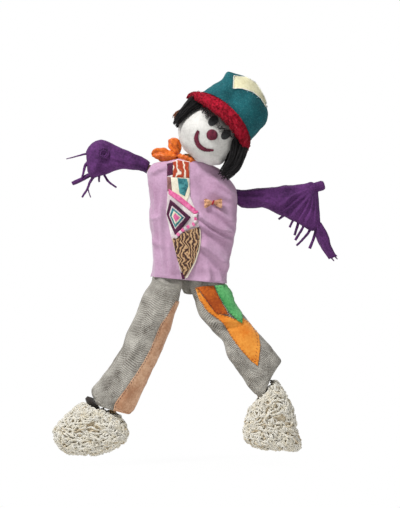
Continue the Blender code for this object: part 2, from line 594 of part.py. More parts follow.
def leg_trims(left, right):
    peach = material("panel_peach", (0.72, 0.40, 0.23), 0.85)
    outline = ((-0.060, -0.392), (-0.083, -0.478), (-0.124, -0.572), (-0.182, -0.690), (-0.222, -0.676),
               (-0.168, -0.580), (-0.118, -0.478), (-0.078, -0.392))
    lay_on("trouser_panel", outline, left, CLOTH, peach, cell=0.010, gap=0.0018)
    rust = material("patch_rust_cotton", (0.58, 0.12, 0.006), 0.8)
    green = material("patch_green_cotton", (0.08, 0.50, 0.16), 0.8)
    orange = material("patch_orange_cotton", (1.0, 0.32, 0.035), 0.7)
    lay_on("patch_rust", ((0.003, -0.330), (0.058, -0.327), (0.074, -0.362), (0.100, -0.404),
                          (0.088, -0.430), (0.062, -0.420), (0.030, -0.398)), right, CLOTH, rust, cell=0.010, gap=0.0018)
    lay_on("patch_green", ((0.061, -0.329), (0.084, -0.330), (0.102, -0.360), (0.116, -0.384),
                           (0.136, -0.404), (0.143, -0.428), (0.120, -0.424), (0.104, -0.404), (0.077, -0.362)),
           right, CLOTH, green, cell=0.008, gap=0.0026)
    lay_on("patch_orange", ((0.100, -0.424), (0.144, -0.4305), (0.178, -0.456), (0.190, -0.482),
                            (0.194, -0.508), (0.190, -0.552), (0.168, -0.540), (0.118, -0.482), (0.094, -0.440)),
           right, CLOTH, orange, cell=0.010, gap=0.0018)


def ankle_band():
    """A black strap round the top of the left mop, standing proud beside the hem."""
    black = material("band_black", (0.017, 0.012, 0.010), 0.9)
    shapes = (((-0.3235, -0.668), (-0.314, -0.660), 0.020), ((-0.307, -0.684), (-0.2975, -0.670), 0.024),
              ((-0.292, -0.6955), (-0.2865, -0.690), 0.020))
    soft_form("ankle_band", [(l, r, d, LEG_Y) for l, r, d in shapes], black, sides=12)


# ---- build --------------------------------------------------------------------------------
def screw(name, place, y_front, y_end):
    """A round-headed screw driven from the front."""
    piece = bolt(name, place, 0, y_front - y_end)
    x, z = place
    for vert in piece.data.vertices:
        vert.co = Vector((2 * x - vert.co.x, y_front - vert.co.y, vert.co.z))
    return piece


def fasteners():
    screw_end = SPINE_FRONT + 0.012
    screw("shoulder_screw", SHOULDER_MID, BAR_FRONT - GAP, screw_end)
    screw("hip_screw", HIP_MID, BAR_FRONT - GAP, screw_end)
    screw("neck_screw", NECK, NECK_Y - NECK_R - GAP, screw_end)
    y_nut = STICK_Y - STICK_R - GAP
    for name, place in (("arm_bolt_left", SHOULDER_LEFT), ("arm_bolt_right", SHOULDER_RIGHT),
                        ("leg_bolt_left", HIP_LEFT), ("leg_bolt_right", HIP_RIGHT)):
        bolt(name, place, BAR_BACK + GAP, y_nut - 0.0055)
        nut(name.replace("bolt", "nut"), place, y_nut)


def main():
    hanger()
    spine()
    bars()
    fasteners()
    neck()
    ball = head()
    face(ball)
    hair()
    hat()
    scarf()
    torso()
    trims(smock())
    arm_left()
    arm_right()
    left = leg("left", HIP_LEFT, ANKLE_LEFT, TROUSER_LEFT)
    right = leg("right", HIP_RIGHT, ANKLE_RIGHT, TROUSER_RIGHT)
    leg_trims(left, right)
    mop("left", MOP_LEFT, ANKLE_LEFT, HIP_LEFT)
    mop("right", MOP_RIGHT, ANKLE_RIGHT, HIP_RIGHT)
    ankle_band()


main()
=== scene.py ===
# %% [markdown]
# A scarecrow figure, dressed over its wooden frame. The frame, the bolts and the joint axes come
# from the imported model, so they are loaded first and never moved. Everything soft is made here.

# %% Load the frame
import json
import random
from math import asin, atan2, cos, exp, hypot, pi, radians, sin

import bmesh
import bpy
from mathutils import Matrix, Vector, noise
from mathutils.bvhtree import BVHTree


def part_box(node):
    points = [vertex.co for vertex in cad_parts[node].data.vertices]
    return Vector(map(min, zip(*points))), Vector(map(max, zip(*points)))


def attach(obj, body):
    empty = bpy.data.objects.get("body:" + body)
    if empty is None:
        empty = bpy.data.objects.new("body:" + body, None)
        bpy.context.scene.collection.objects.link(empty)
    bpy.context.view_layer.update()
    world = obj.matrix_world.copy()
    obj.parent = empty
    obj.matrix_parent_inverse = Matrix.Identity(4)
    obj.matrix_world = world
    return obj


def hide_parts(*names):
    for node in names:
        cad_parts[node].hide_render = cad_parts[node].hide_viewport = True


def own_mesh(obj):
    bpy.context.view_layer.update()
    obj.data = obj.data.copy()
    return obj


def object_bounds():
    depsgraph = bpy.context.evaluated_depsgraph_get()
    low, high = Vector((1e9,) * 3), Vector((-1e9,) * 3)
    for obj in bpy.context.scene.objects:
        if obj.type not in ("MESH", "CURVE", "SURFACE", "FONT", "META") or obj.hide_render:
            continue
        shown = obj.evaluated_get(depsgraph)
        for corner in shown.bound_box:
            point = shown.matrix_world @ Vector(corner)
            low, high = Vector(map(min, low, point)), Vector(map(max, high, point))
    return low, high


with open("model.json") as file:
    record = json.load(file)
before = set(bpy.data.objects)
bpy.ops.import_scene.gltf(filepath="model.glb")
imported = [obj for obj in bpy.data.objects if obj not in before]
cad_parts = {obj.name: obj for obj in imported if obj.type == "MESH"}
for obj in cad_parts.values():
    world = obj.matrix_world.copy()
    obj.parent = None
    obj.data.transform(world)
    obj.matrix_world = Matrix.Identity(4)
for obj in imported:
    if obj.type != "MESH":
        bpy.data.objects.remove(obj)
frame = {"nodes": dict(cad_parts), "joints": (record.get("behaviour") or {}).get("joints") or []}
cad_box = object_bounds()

print("frame", [round(v, 3) for v in cad_box[0]], [round(v, 3) for v in cad_box[1]])

# %% [markdown]
# The camera looks straight at the figure, level with its hips. The key lamp hangs high at the left
# front, so that folds which run across the figure show. A wide lamp fills from the right, one
# stands behind, and the floor is white but for the figure's own shadow.

# %% Camera, lights and floor
VIEW_CENTRE = Vector((0.021, -0.06, -0.232))
VIEW_DISTANCE = 5.72
SHADOW_REACH = (0.30, 0.95)     # from the feet outwards, where the shadow fades into white
scene = bpy.context.scene
camera = bpy.data.objects.new("camera", bpy.data.cameras.new("camera"))
scene.collection.objects.link(camera)
camera.data.lens, camera.data.sensor_width = 135, 36
camera.location = VIEW_CENTRE - Vector((0, VIEW_DISTANCE, 0))
camera.rotation_euler = (radians(90), 0, 0)
scene.camera = camera
scene.view_settings.view_transform = "Standard"


def soft_light(name, place, size, power):
    """A square lamp turned towards the middle of the figure."""
    lamp = bpy.data.objects.new(name, bpy.data.lights.new(name, "AREA"))
    lamp.data.shape, lamp.data.size, lamp.data.energy = "SQUARE", size, power
    lamp.location = place
    lamp.rotation_euler = (VIEW_CENTRE - Vector(place)).to_track_quat("-Z", "Y").to_euler()
    scene.collection.objects.link(lamp)


soft_light("key", (-1.5, -1.6, 2.6), 0.6, 116)
soft_light("fill", (2.4, -2.2, 0.1), 2.0, 14)
soft_light("back", (0.6, 2.4, 1.2), 1.8, 14)


def white_to_camera(shader_tree, lit, white, share=None):
    """Light Path picks plain white for camera, mirror and glass rays, and the lit shader otherwise.
    A share below one lets the rest of the lit shader, with its shadow, through to the camera."""
    path = shader_tree.nodes.new("ShaderNodeLightPath")
    amount = path.outputs["Is Camera Ray"]
    steps = [("MAXIMUM", path.outputs["Is Glossy Ray"]), ("MAXIMUM", path.outputs["Is Transmission Ray"])]
    for operation, other in steps + ([("MULTIPLY", share)] if share else []):
        node = shader_tree.nodes.new("ShaderNodeMath")
        node.operation = operation
        shader_tree.links.new(amount, node.inputs[0])
        shader_tree.links.new(other, node.inputs[1])
        amount = node.outputs[0]
    mix = shader_tree.nodes.new("ShaderNodeMixShader")
    for out, socket in zip((amount, lit, white), mix.inputs):
        shader_tree.links.new(out, socket)
    return mix.outputs[0]


world = bpy.data.worlds.new("studio")
scene.world = world
world.use_nodes = True
tree = world.node_tree
glow = tree.nodes["Background"]
glow.inputs["Color"].default_value = (1, 1, 1, 1)
glow.inputs["Strength"].default_value = 0.21
white = tree.nodes.new("ShaderNodeBackground")
white.inputs["Color"].default_value = (1, 1, 1, 1)
tree.links.new(white_to_camera(tree, glow.outputs[0], white.outputs[0]), tree.nodes["World Output"].inputs[0])

floor_bm = bmesh.new()
bmesh.ops.create_grid(floor_bm, x_segments=1, y_segments=1, size=6)
bmesh.ops.translate(floor_bm, verts=floor_bm.verts, vec=(0, 0, cad_box[0][2] - 0.035))
floor_mesh = bpy.data.meshes.new("floor")
floor_bm.to_mesh(floor_mesh)
studio_floor = bpy.data.objects.new("floor", floor_mesh)
scene.collection.objects.link(studio_floor)
paint = bpy.data.materials.new("floor_paint")
paint.use_nodes = True
matt = paint.node_tree.nodes["Principled BSDF"]
matt.inputs["Base Color"].default_value = (0.93, 0.93, 0.92, 1)
matt.inputs["Roughness"].default_value = 0.9
bright = paint.node_tree.nodes.new("ShaderNodeEmission")
where = paint.node_tree.nodes.new("ShaderNodeTexCoord")
reach = paint.node_tree.nodes.new("ShaderNodeVectorMath")
reach.operation = "LENGTH"
paint.node_tree.links.new(where.outputs["Object"], reach.inputs[0])
fade = paint.node_tree.nodes.new("ShaderNodeMapRange")
fade.interpolation_type = "SMOOTHSTEP"
fade.inputs["From Min"].default_value, fade.inputs["From Max"].default_value = SHADOW_REACH
fade.inputs["To Min"].default_value, fade.inputs["To Max"].default_value = 0.45, 1.0
paint.node_tree.links.new(reach.outputs["Value"], fade.inputs["Value"])
paint.node_tree.links.new(white_to_camera(paint.node_tree, matt.outputs[0], bright.outputs[0],
                                          fade.outputs["Result"]),
                          paint.node_tree.nodes["Material Output"].inputs[0])
floor_mesh.materials.append(paint)

# %% [markdown]
# Cloth takes most of its character from three things: an uneven dye, the threads, and a soft
# sheen at the edges. The thread patterns are node groups, built once and used by every cloth,
# and they follow each piece's own "cloth" UV map, whose unit is a metre of cloth.

# %% Colours and node helpers
def tone(red, green, blue):
    """Linear colour of a 0 to 255 screen colour."""
    return tuple((c / 255 / 12.92 if c <= 10 else ((c / 255 + 0.055) / 1.055) ** 2.4)
                 for c in (red, green, blue)) + (1,)


def link(tree, out, socket):
    tree.links.new(out, socket)


def maths(tree, operation, a, b=None):
    """A Math node on sockets or plain numbers."""
    node = tree.nodes.new("ShaderNodeMath")
    node.operation = operation
    for socket, value in zip(node.inputs, (a, b)):
        if isinstance(value, (int, float)):
            socket.default_value = value
        elif value is not None:
            tree.links.new(value, socket)
    return node.outputs[0]


def new_group(name, inputs, outputs):
    group = bpy.data.node_groups.new(name, "ShaderNodeTree")
    for label, kind in inputs:
        group.interface.new_socket(label, in_out="INPUT", socket_type=kind)
    for label, kind in outputs:
        group.interface.new_socket(label, in_out="OUTPUT", socket_type=kind)
    return group, group.nodes.new("NodeGroupInput"), group.nodes.new("NodeGroupOutput")


VECTOR, FLOAT = "NodeSocketVector", "NodeSocketFloat"

# %% Thread groups
def plain_weave():
    """Threads over and under each other: high where one passes over."""
    group, start, end = new_group("plain_weave", (("Place", VECTOR), ("Threads", FLOAT)),
                                  (("Height", FLOAT),))
    parts = group.nodes.new("ShaderNodeSeparateXYZ")
    link(group, start.outputs["Place"], parts.inputs[0])
    waves = []
    for axis in (0, 1):
        turns = maths(group, "MULTIPLY", parts.outputs[axis], start.outputs["Threads"])
        waves.append(maths(group, "SINE", maths(group, "MULTIPLY", turns, 2 * pi)))
    both = maths(group, "MULTIPLY", waves[0], waves[1])
    link(group, maths(group, "ADD", maths(group, "MULTIPLY", both, 0.5), 0.5), end.inputs[0])
    return group


def herringbone():
    """Slanted ribs that turn back at every band."""
    group, start, end = new_group("herringbone", (("Place", VECTOR), ("Bands", FLOAT), ("Ribs", FLOAT)),
                                  (("Height", FLOAT),))
    parts = group.nodes.new("ShaderNodeSeparateXYZ")
    link(group, start.outputs["Place"], parts.inputs[0])
    band = maths(group, "MULTIPLY", parts.outputs[0], start.outputs["Bands"])
    zigzag = maths(group, "PINGPONG", band, 1.0)
    rib = maths(group, "MULTIPLY", parts.outputs[1], start.outputs["Ribs"])
    slanted = maths(group, "ADD", rib, maths(group, "MULTIPLY", zigzag, 2.0))
    wave = maths(group, "SINE", maths(group, "MULTIPLY", slanted, 2 * pi))
    link(group, maths(group, "ADD", maths(group, "MULTIPLY", wave, 0.5), 0.5), end.inputs[0])
    return group


def dye():
    """Uneven dye and wear: a broad cloud with a fine one over it."""
    group, start, end = new_group("dye", (("Place", VECTOR), ("Cloud", FLOAT), ("Speck", FLOAT)),
                                  (("Amount", FLOAT),))
    sizes = []
    for label, detail in (("Cloud", 4), ("Speck", 2)):
        cloud = group.nodes.new("ShaderNodeTexNoise")
        cloud.inputs["Detail"].default_value = detail
        link(group, start.outputs["Place"], cloud.inputs["Vector"])
        link(group, start.outputs[label], cloud.inputs["Scale"])
        sizes.append(cloud.outputs["Fac"])
    broad = maths(group, "MULTIPLY", sizes[0], 0.65)
    link(group, maths(group, "ADD", broad, maths(group, "MULTIPLY", sizes[1], 0.35)), end.inputs[0])
    return group


PLAIN_WEAVE, HERRINGBONE, DYE = plain_weave(), herringbone(), dye()


def use(tree, group, **values):
    node = tree.nodes.new("ShaderNodeGroup")
    node.node_tree = group
    for label, value in values.items():
        if isinstance(value, (int, float)):
            node.inputs[label].default_value = value
        else:
            tree.links.new(value, node.inputs[label])
    return node.outputs[0]


# %% A cloth material
def cloth(name, dark, light, threads=900, weave=None, bump=0.25, rough=0.85, sheen=0.25, cloud=14,
          speck=160, contrast=(0.38, 0.62), uv=True, extra=None, depth=0.0004, mark=0.12):
    """Dyed threads between a dark and a light tone, with the thread relief as bump."""
    mat = bpy.data.materials.new(name)
    mat.use_nodes = True
    tree = mat.node_tree
    shader = tree.nodes["Principled BSDF"]
    shader.inputs["Roughness"].default_value = rough
    shader.inputs["Sheen Weight"].default_value = sheen
    shader.inputs["Sheen Roughness"].default_value = 0.5
    shader.inputs["Specular IOR Level"].default_value = 0.25
    place = tree.nodes.new("ShaderNodeTexCoord")
    ramp = tree.nodes.new("ShaderNodeValToRGB")
    ramp.color_ramp.elements[0].position, ramp.color_ramp.elements[1].position = contrast
    ramp.color_ramp.elements[0].color, ramp.color_ramp.elements[1].color = dark, light
    amount = use(tree, DYE, Place=place.outputs["Object"], Cloud=cloud, Speck=speck)
    threads_at = place.outputs["UV"] if uv else place.outputs["Object"]
    if weave is HERRINGBONE:
        relief = use(tree, HERRINGBONE, Place=threads_at, Bands=threads / 6, Ribs=threads)
    else:
        relief = use(tree, PLAIN_WEAVE, Place=threads_at, Threads=threads)
    shade = maths(tree, "ADD", amount, maths(tree, "MULTIPLY", maths(tree, "SUBTRACT", relief, 0.5), mark))
    link(tree, shade, ramp.inputs[0])
    color = ramp.outputs[0]
    if extra:
        color = extra(tree, place, color)
    link(tree, color, shader.inputs["Base Color"])
    raised = tree.nodes.new("ShaderNodeBump")
    raised.inputs["Strength"].default_value = bump
    raised.inputs["Distance"].default_value = depth
    link(tree, relief, raised.inputs["Height"])
    link(tree, raised.outputs[0], shader.inputs["Normal"])
    return mat

# %% [markdown]
# Sleeves, trouser legs and the smock are all tubes of cloth. A flat grid is rolled round smooth
# stations down the limb, its seam is welded, and folds push it in and out. A station gives the two
# outer edges of the limb as seen from the front, its half depth, and how far it is from the wall.

# %% Rolling a grid into a tube of cloth
def smooth(stations, share):
    """A smooth curve through rows of numbers, read at a share of its length."""
    place = share * (len(stations) - 1)
    i = min(int(place), len(stations) - 2)
    t = place - i
    rows = [stations[min(max(k, 0), len(stations) - 1)] for k in (i - 1, i, i + 1, i + 2)]
    out = []
    for a, b, c, d in zip(*rows):
        out.append(0.5 * (2 * b + (c - a) * t + (2 * a - 5 * b + 4 * c - d) * t * t
                          + (3 * b - a - 3 * c + d) * t ** 3))
    return out


def power(value, exponent):
    return abs(value) ** exponent * (1 if value >= 0 else -1)


def roll(stations, boxy=2.0):
    """place(u, v) on a tube: u runs from the back round by the left side, v along the stations.
    It returns the point, the way out, and how much that way faces the front."""
    def place(u, v):
        lx, lz, rx, rz, depth, y = smooth(stations, v)
        angle = 2 * pi * u
        side, back = power(-sin(angle), 2 / boxy), power(cos(angle), 2 / boxy)
        across = Vector((rx - lx, 0, rz - lz)) / 2
        middle = Vector(((lx + rx) / 2, y, (lz + rz) / 2))
        out = across.normalized() * -sin(angle) + Vector((0, cos(angle), 0))
        return middle + across * side + Vector((0, depth * back, 0)), out, max(0.0, -cos(angle))
    return place


def finish_mesh(name, bm, mats):
    """Writes the faces out as a smooth piece, with their normals outwards."""
    bmesh.ops.recalc_face_normals(bm, faces=bm.faces)
    mesh = bpy.data.meshes.new(name)
    bm.to_mesh(mesh)
    bm.free()
    for mat in mats if isinstance(mats, (list, tuple)) else [mats]:
        mesh.materials.append(mat)
    mesh.shade_smooth()
    obj = bpy.data.objects.new(name, mesh)
    scene.collection.objects.link(obj)
    return obj


def rolled(name, place, around, along, mats, folds=None, size=(1, 1), caps=False, weld=True):
    """A grid sent through place(u, v), with a UV map in metres and folds along the way out."""
    bm = bmesh.new()
    bmesh.ops.create_grid(bm, x_segments=around, y_segments=along, size=0.5)
    uv = bm.loops.layers.uv.new("cloth")
    for face in bm.faces:
        for corner in face.loops:
            corner[uv].uv = ((corner.vert.co.x + 0.5) * size[0], (corner.vert.co.y + 0.5) * size[1])
    for vert in bm.verts:
        u, v = vert.co.x + 0.5, vert.co.y + 0.5
        point, out, front = place(u, v)
        vert.co = point + out * (folds(point, u, v, front) if folds else 0)
    if weld:
        bmesh.ops.remove_doubles(bm, verts=bm.verts, dist=2e-5)
    if caps:
        bmesh.ops.holes_fill(bm, edges=[e for e in bm.edges if e.is_boundary], sides=0)
    return finish_mesh(name, bm, mats)


COTTON_THICK, JERSEY_THICK, TWEED_THICK = 0.0014, 0.0012, 0.0016


def walled(obj, thick):
    """Gives an open skin its thickness, inwards, and applies it."""
    wall = obj.modifiers.new("wall", "SOLIDIFY")
    wall.thickness, wall.offset = thick, -1
    apply_modifiers(obj)
    return obj


def apply_modifiers(obj):
    bpy.context.view_layer.update()
    ready = bpy.data.meshes.new_from_object(obj.evaluated_get(bpy.context.evaluated_depsgraph_get()))
    obj.modifiers.clear()
    obj.data = ready
    return obj


# %% [markdown]
# Folds are lines drawn on the cloth with a width and a height. A fold's upper side is broad and
# its lower side narrow, as hanging cloth is, and it fades out at both ends.

# %% Folds
def fold_height(x, z, lines):
    """Sum of the folds at a place on the front, in metres."""
    total = 0.0
    for path, width, height, *lower in lines:
        below = lower[0] if lower else width
        best, where, sign = 1e9, 0.0, 1
        for i, (a, b) in enumerate(zip(path, path[1:])):
            ax, az, bx, bz = *a, *b
            dx, dz = bx - ax, bz - az
            t = min(max(((x - ax) * dx + (z - az) * dz) / (dx * dx + dz * dz), 0), 1)
            gap = hypot(x - ax - t * dx, z - az - t * dz)
            if gap < best:
                best, where = gap, (i + t) / (len(path) - 1)
                sign = 1 if dx * (z - az) - dz * (x - ax) >= 0 else -1
        reach = width if sign > 0 else below
        if best < 3 * reach:
            total += height * exp(-(best / reach) ** 2) * min(1, 4 * min(where, 1 - where) + 0.15)
    return total


def ripple(point, size, height, seed=0.0):
    return noise.noise(point / size + Vector((seed, 0.7 * seed, 1.3 * seed))) * height


# %% [markdown]
# Small cloth shapes, such as the eyes, the patches and the printed scraps, are cut out flat, given
# a fine grid, dropped onto the piece that they are sewn to, and thickened.

# %% Cloth laid on another piece
IN_FRONT, MID_DEPTH = -0.6, -0.06     # where the drop starts, and the figure's middle depth


def tree_of(*objs):
    """A surface to drop things on, from one or more pieces."""
    bm = bmesh.new()
    bpy.context.view_layer.update()
    graph = bpy.context.evaluated_depsgraph_get()
    for obj in objs:
        bm.from_mesh(obj.evaluated_get(graph).to_mesh())
    tree = BVHTree.FromBMesh(bm)
    bm.free()
    return tree


def dropped(tree, x, z, lift):
    """The point of the surface in front of (x, z), lifted off it."""
    spot, normal = tree.ray_cast(Vector((x, IN_FRONT, z)), Vector((0, 1, 0)))[:2]
    if spot is None:
        spot, normal = tree.find_nearest(Vector((x, MID_DEPTH, z)))[:2]
    normal = -normal if normal.y > 0 else normal
    return spot + normal * lift, normal


def laid(name, outline, tree, mats, lift=0.0008, thick=0.0014, cell=0.005, puff=0.0, fray=0.0):
    """Cloth cut to an (x, z) outline, dropped on a surface; puff lifts its middle like a pad."""
    bm = bmesh.new()
    bm.faces.new([bm.verts.new((x, 0, z)) for x, z in outline])
    for axis in (0, 2):
        low, high = (pick(v.co[axis] for v in bm.verts) for pick in (min, max))
        count = max(2, round((high - low) / cell))
        normal = Vector([1 if k == axis else 0 for k in range(3)])
        for i in range(1, count):
            bmesh.ops.bisect_plane(bm, geom=bm.verts[:] + bm.edges[:] + bm.faces[:], dist=1e-6,
                                   plane_co=normal * (low + (high - low) * i / count), plane_no=normal)
    bmesh.ops.triangulate(bm, faces=bm.faces)
    uv = bm.loops.layers.uv.new("cloth")
    for face in bm.faces:
        for corner in face.loops:
            corner[uv].uv = (corner.vert.co.x, corner.vert.co.z)
    edge = [(Vector(a), Vector(b)) for a, b in zip(outline, list(outline[1:]) + [outline[0]])]
    for vert in bm.verts:
        flat = Vector((vert.co.x, vert.co.z))
        rim = min(edge_gap(flat, a, b) for a, b in edge) if puff or fray else 1
        raised = puff * (1 - exp(-rim / 0.004)) if puff else 0
        shift = ripple(Vector((flat.x, 0, flat.y)), 0.003, fray) if fray and rim < 0.001 else 0
        vert.co = dropped(tree, flat.x + shift, flat.y + shift, lift + raised)[0]
    top = bmesh.ops.extrude_face_region(bm, geom=list(bm.faces), use_keep_orig=True)["geom"]
    bmesh.ops.translate(bm, vec=(0, -thick, 0), verts=[v for v in top if isinstance(v, bmesh.types.BMVert)])
    return finish_mesh(name, bm, mats)


def edge_gap(point, a, b):
    run = b - a
    t = min(max((point - a).dot(run) / max(run.length_squared, 1e-12), 0), 1)
    return (point - a - run * t).length


# %% [markdown]
# Stitches are short lengths of thick thread lying on the cloth. Each is a little six-sided
# sausage, so a whole border of them stays light.

# %% Stitches along a line
def stitches(name, path, tree, mat, length=0.006, gap=0.004, thick=0.0011, lift=0.0030, slant=0.0):
    """Thread stitches along an (x, z) path; slant turns each one across the path."""
    bm = bmesh.new()
    travelled, due = 0.0, length / 2
    for a, b in zip(path, path[1:]):
        a, b = Vector(a), Vector(b)
        run = (b - a).length
        while due < travelled + run:
            flat = a + (b - a) * ((due - travelled) / run)
            way = atan2(b.y - a.y, b.x - a.x) + slant + 0.18 * sin(due * 900)
            half = Vector((cos(way), sin(way))) * length / 2
            start, normal = dropped(tree, flat.x - half.x, flat.y - half.y, lift)
            end = dropped(tree, flat.x + half.x, flat.y + half.y, lift)[0]
            along = end - start
            if along.length < 2 * length:
                aim = along.to_track_quat("Z", "Y").to_matrix().to_4x4()
                place = Matrix.Translation((start + end) / 2) @ aim
                shape = Matrix.Diagonal((thick, thick, along.length / 2 + thick / 2, 1))
                bmesh.ops.create_uvsphere(bm, u_segments=6, v_segments=5, radius=1, matrix=place @ shape)
            due += length + gap
        travelled += run
    return finish_mesh(name, bm, mat)


# %% Strands of wool, yarn or thread
def strands(name, paths, radius, mat, taper=0.5, sides=1):
    """Many threads as one curve object; each path is a list of points, thinner at its tip."""
    curve = bpy.data.curves.new(name, "CURVE")
    curve.dimensions = "3D"
    curve.bevel_depth = radius
    curve.bevel_resolution = sides
    curve.use_fill_caps = True
    for path in paths:
        line = curve.splines.new("POLY")
        line.points.add(len(path) - 1)
        for i, (point, knot) in enumerate(zip(path, line.points)):
            knot.co = (*point, 1)
            knot.radius = 1 - taper * max(0, 2 * i / (len(path) - 1) - 1) ** 2
    curve.materials.append(mat)
    obj = bpy.data.objects.new(name, curve)
    scene.collection.objects.link(obj)
    bpy.context.view_layer.update()
    mesh = bpy.data.meshes.new_from_object(obj.evaluated_get(bpy.context.evaluated_depsgraph_get()))
    bpy.data.objects.remove(obj)
    mesh.name = name
    solid = bpy.data.objects.new(name, mesh)
    scene.collection.objects.link(solid)
    mesh.shade_smooth()
    return solid


def on(obj, body, slot, *nodes):
    """A finished piece: the body it rides on, and the plain solids it stands for. The slot argument is not
    used.
    """
    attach(obj, body)
    if nodes:
        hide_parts(*nodes)
    print(obj.name, len(obj.data.polygons), "faces on", body)
    return obj

# %% [markdown]
# The smock is a sleeveless tube of lilac cotton that hangs over a stuffed bag. It is rolled as one
# skin, with the swags that cross its front, then given a wall. Its armholes are cut with round
# cutters on the arms' own lines, and it stays open at the back where the hanger plate comes out.

# %% Joints that the cloth is shaped round
JOINTS = {j["name"]: Vector(j["pos_m"]) for j in frame["joints"] if j["type"] == "hinge"}
SHOULDER_L, SHOULDER_R = JOINTS["shoulder_left"], JOINTS["shoulder_right"]
HIP_L, HIP_R = JOINTS["hip_left"], JOINTS["hip_right"]


def stick_line(node, joint):
    """From the joint to the far end of the stick."""
    low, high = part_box(node)
    far_x = low[0] if abs(low[0] - joint.x) > abs(high[0] - joint.x) else high[0]
    far_z = low[2] if abs(low[2] - joint.z) > abs(high[2] - joint.z) else high[2]
    return Vector((far_x, joint.y, far_z)) - joint


ARM_L, ARM_R = stick_line("arm_stick_left", SHOULDER_L), stick_line("arm_stick_right", SHOULDER_R)

# %% Smock
LILAC = cloth("lilac_cotton", tone(170, 128, 158), tone(214, 176, 206), threads=1100, sheen=0.35,
              contrast=(0.22, 0.70), bump=0.2)
SMOCK_Y = -0.0555
SMOCK = ((-0.1224, -0.300, 0.0975, -0.3205, 0.052, SMOCK_Y), (-0.1206, -0.253, 0.104, -0.280, 0.053, SMOCK_Y),
         (-0.122, -0.187, 0.117, -0.215, 0.053, SMOCK_Y), (-0.132, -0.123, 0.130, -0.150, 0.053, SMOCK_Y),
         (-0.131, -0.060, 0.1335, -0.105, 0.053, SMOCK_Y), (-0.1335, -0.010, 0.135, -0.065, 0.052, SMOCK_Y),
         (-0.135, 0.020, 0.128, -0.034, 0.048, -0.054), (-0.122, 0.038, 0.108, -0.006, 0.044, -0.052),
         (-0.084, 0.048, 0.078, 0.023, 0.040, -0.050), (-0.049, 0.0545, 0.040, 0.0420, 0.036, -0.050))
SMOCK_FOLDS = (
    (((0.003, -0.104), (0.035, -0.135), (0.068, -0.158), (0.125, -0.176)), 0.014, 0.011, 0.004),
    (((0.004, -0.134), (0.038, -0.160), (0.075, -0.182), (0.126, -0.197)), 0.010, 0.008, 0.004),
    (((0.030, -0.060), (0.060, -0.100), (0.098, -0.130), (0.130, -0.145)), 0.014, 0.006, 0.007),
    (((0.012, -0.196), (0.038, -0.219), (0.062, -0.240), (0.104, -0.288)), 0.024, 0.015, 0.006),
    (((0.040, -0.262), (0.046, -0.290), (0.048, -0.319)), 0.008, 0.005),
    (((0.070, -0.272), (0.078, -0.296), (0.080, -0.320)), 0.007, 0.004),
    (((-0.114, -0.010), (-0.108, -0.120), (-0.113, -0.285)), 0.008, 0.004),
    (((-0.089, -0.040), (-0.093, -0.160), (-0.083, -0.300)), 0.007, 0.005),
    (((-0.070, -0.190), (-0.066, -0.240), (-0.058, -0.300)), 0.008, 0.004),
    (((-0.131, -0.183), (-0.111, -0.200), (-0.080, -0.212)), 0.008, 0.003),
    (((-0.131, -0.120), (-0.110, -0.128), (-0.085, -0.120)), 0.007, 0.003),
    (((-0.128, 0.004), (-0.100, 0.020), (-0.066, 0.034)), 0.008, 0.005),
    (((0.122, -0.052), (0.088, -0.030), (0.052, 0.000)), 0.008, 0.005),
    (((0.126, -0.070), (0.092, -0.062), (0.040, -0.030)), 0.009, 0.003),
    (((-0.018, 0.020), (0.010, -0.030), (0.018, -0.110)), 0.010, 0.004))
HEM_BAND = 0.035     # share of the length that is turned up and sewn
FOLD_DEPTH = 1.8     # the folds hang this much deeper than their heights above
BATTEN_COVER = 0.03     # how far behind the middle the cloth starts to lie over the batten
ARM_HOLE = 0.0265
SLIT_HALF, SLIT_FOOT, SLIT_FRONT = 0.0255, -0.042, -0.03     # the slit behind the neck


def smock_fold(point, u, v, front):
    height = fold_height(point.x, point.z, SMOCK_FOLDS) * FOLD_DEPTH * min(1, front * 2.2)
    height += ripple(point, 0.060, 0.005, 3.0) + ripple(point, 0.022, 0.0016, 7.0)
    behind = min(1, max(0, (point.y - SMOCK_Y) / BATTEN_COVER))
    height += behind * (max(0.0, height) - height)
    flutter = 0.0035 * sin(2 * pi * 9 * u + 1.3) * max(0, 1 - v / 0.14) ** 1.5
    hem_roll = 0.0011 if v < HEM_BAND else 0.0
    return height + flutter + hem_roll


def cut_round(obj, start, end, radius):
    """Takes a round hole out of a walled piece along a line."""
    bm = bmesh.new()
    line = end - start
    place = Matrix.Translation((start + end) / 2) @ line.to_track_quat("Z", "Y").to_matrix().to_4x4()
    bmesh.ops.create_cone(bm, cap_ends=True, segments=48, radius1=radius, radius2=radius * 1.15,
                          depth=line.length, matrix=place)
    cutter = finish_mesh("cutter", bm, [])
    hole = obj.modifiers.new("hole", "BOOLEAN")
    hole.object, hole.operation = cutter, "DIFFERENCE"
    apply_modifiers(obj)
    bpy.data.objects.remove(cutter)


def make_smock():
    shape = roll(SMOCK, boxy=2.9)
    smock = rolled("smock", shape, 176, 132, LILAC, smock_fold, size=(0.72, 0.37))
    bm = bmesh.new()
    bm.from_mesh(smock.data)
    middles = [(face, face.calc_center_median()) for face in bm.faces]
    gone = [face for face, mid in middles
            if mid.y > SLIT_FRONT and abs(mid.x) < SLIT_HALF and mid.z > SLIT_FOOT]
    bmesh.ops.delete(bm, geom=gone, context="FACES")
    bm.to_mesh(smock.data)
    bm.free()
    walled(smock, COTTON_THICK)
    for joint, line in ((SHOULDER_L, ARM_L), (SHOULDER_R, ARM_R)):
        out = line.normalized()
        cut_round(smock, joint + out * 0.002, joint + out * 0.09, ARM_HOLE)
    smock.data.shade_smooth()
    return on(smock, "frame", "smock", "shirt")


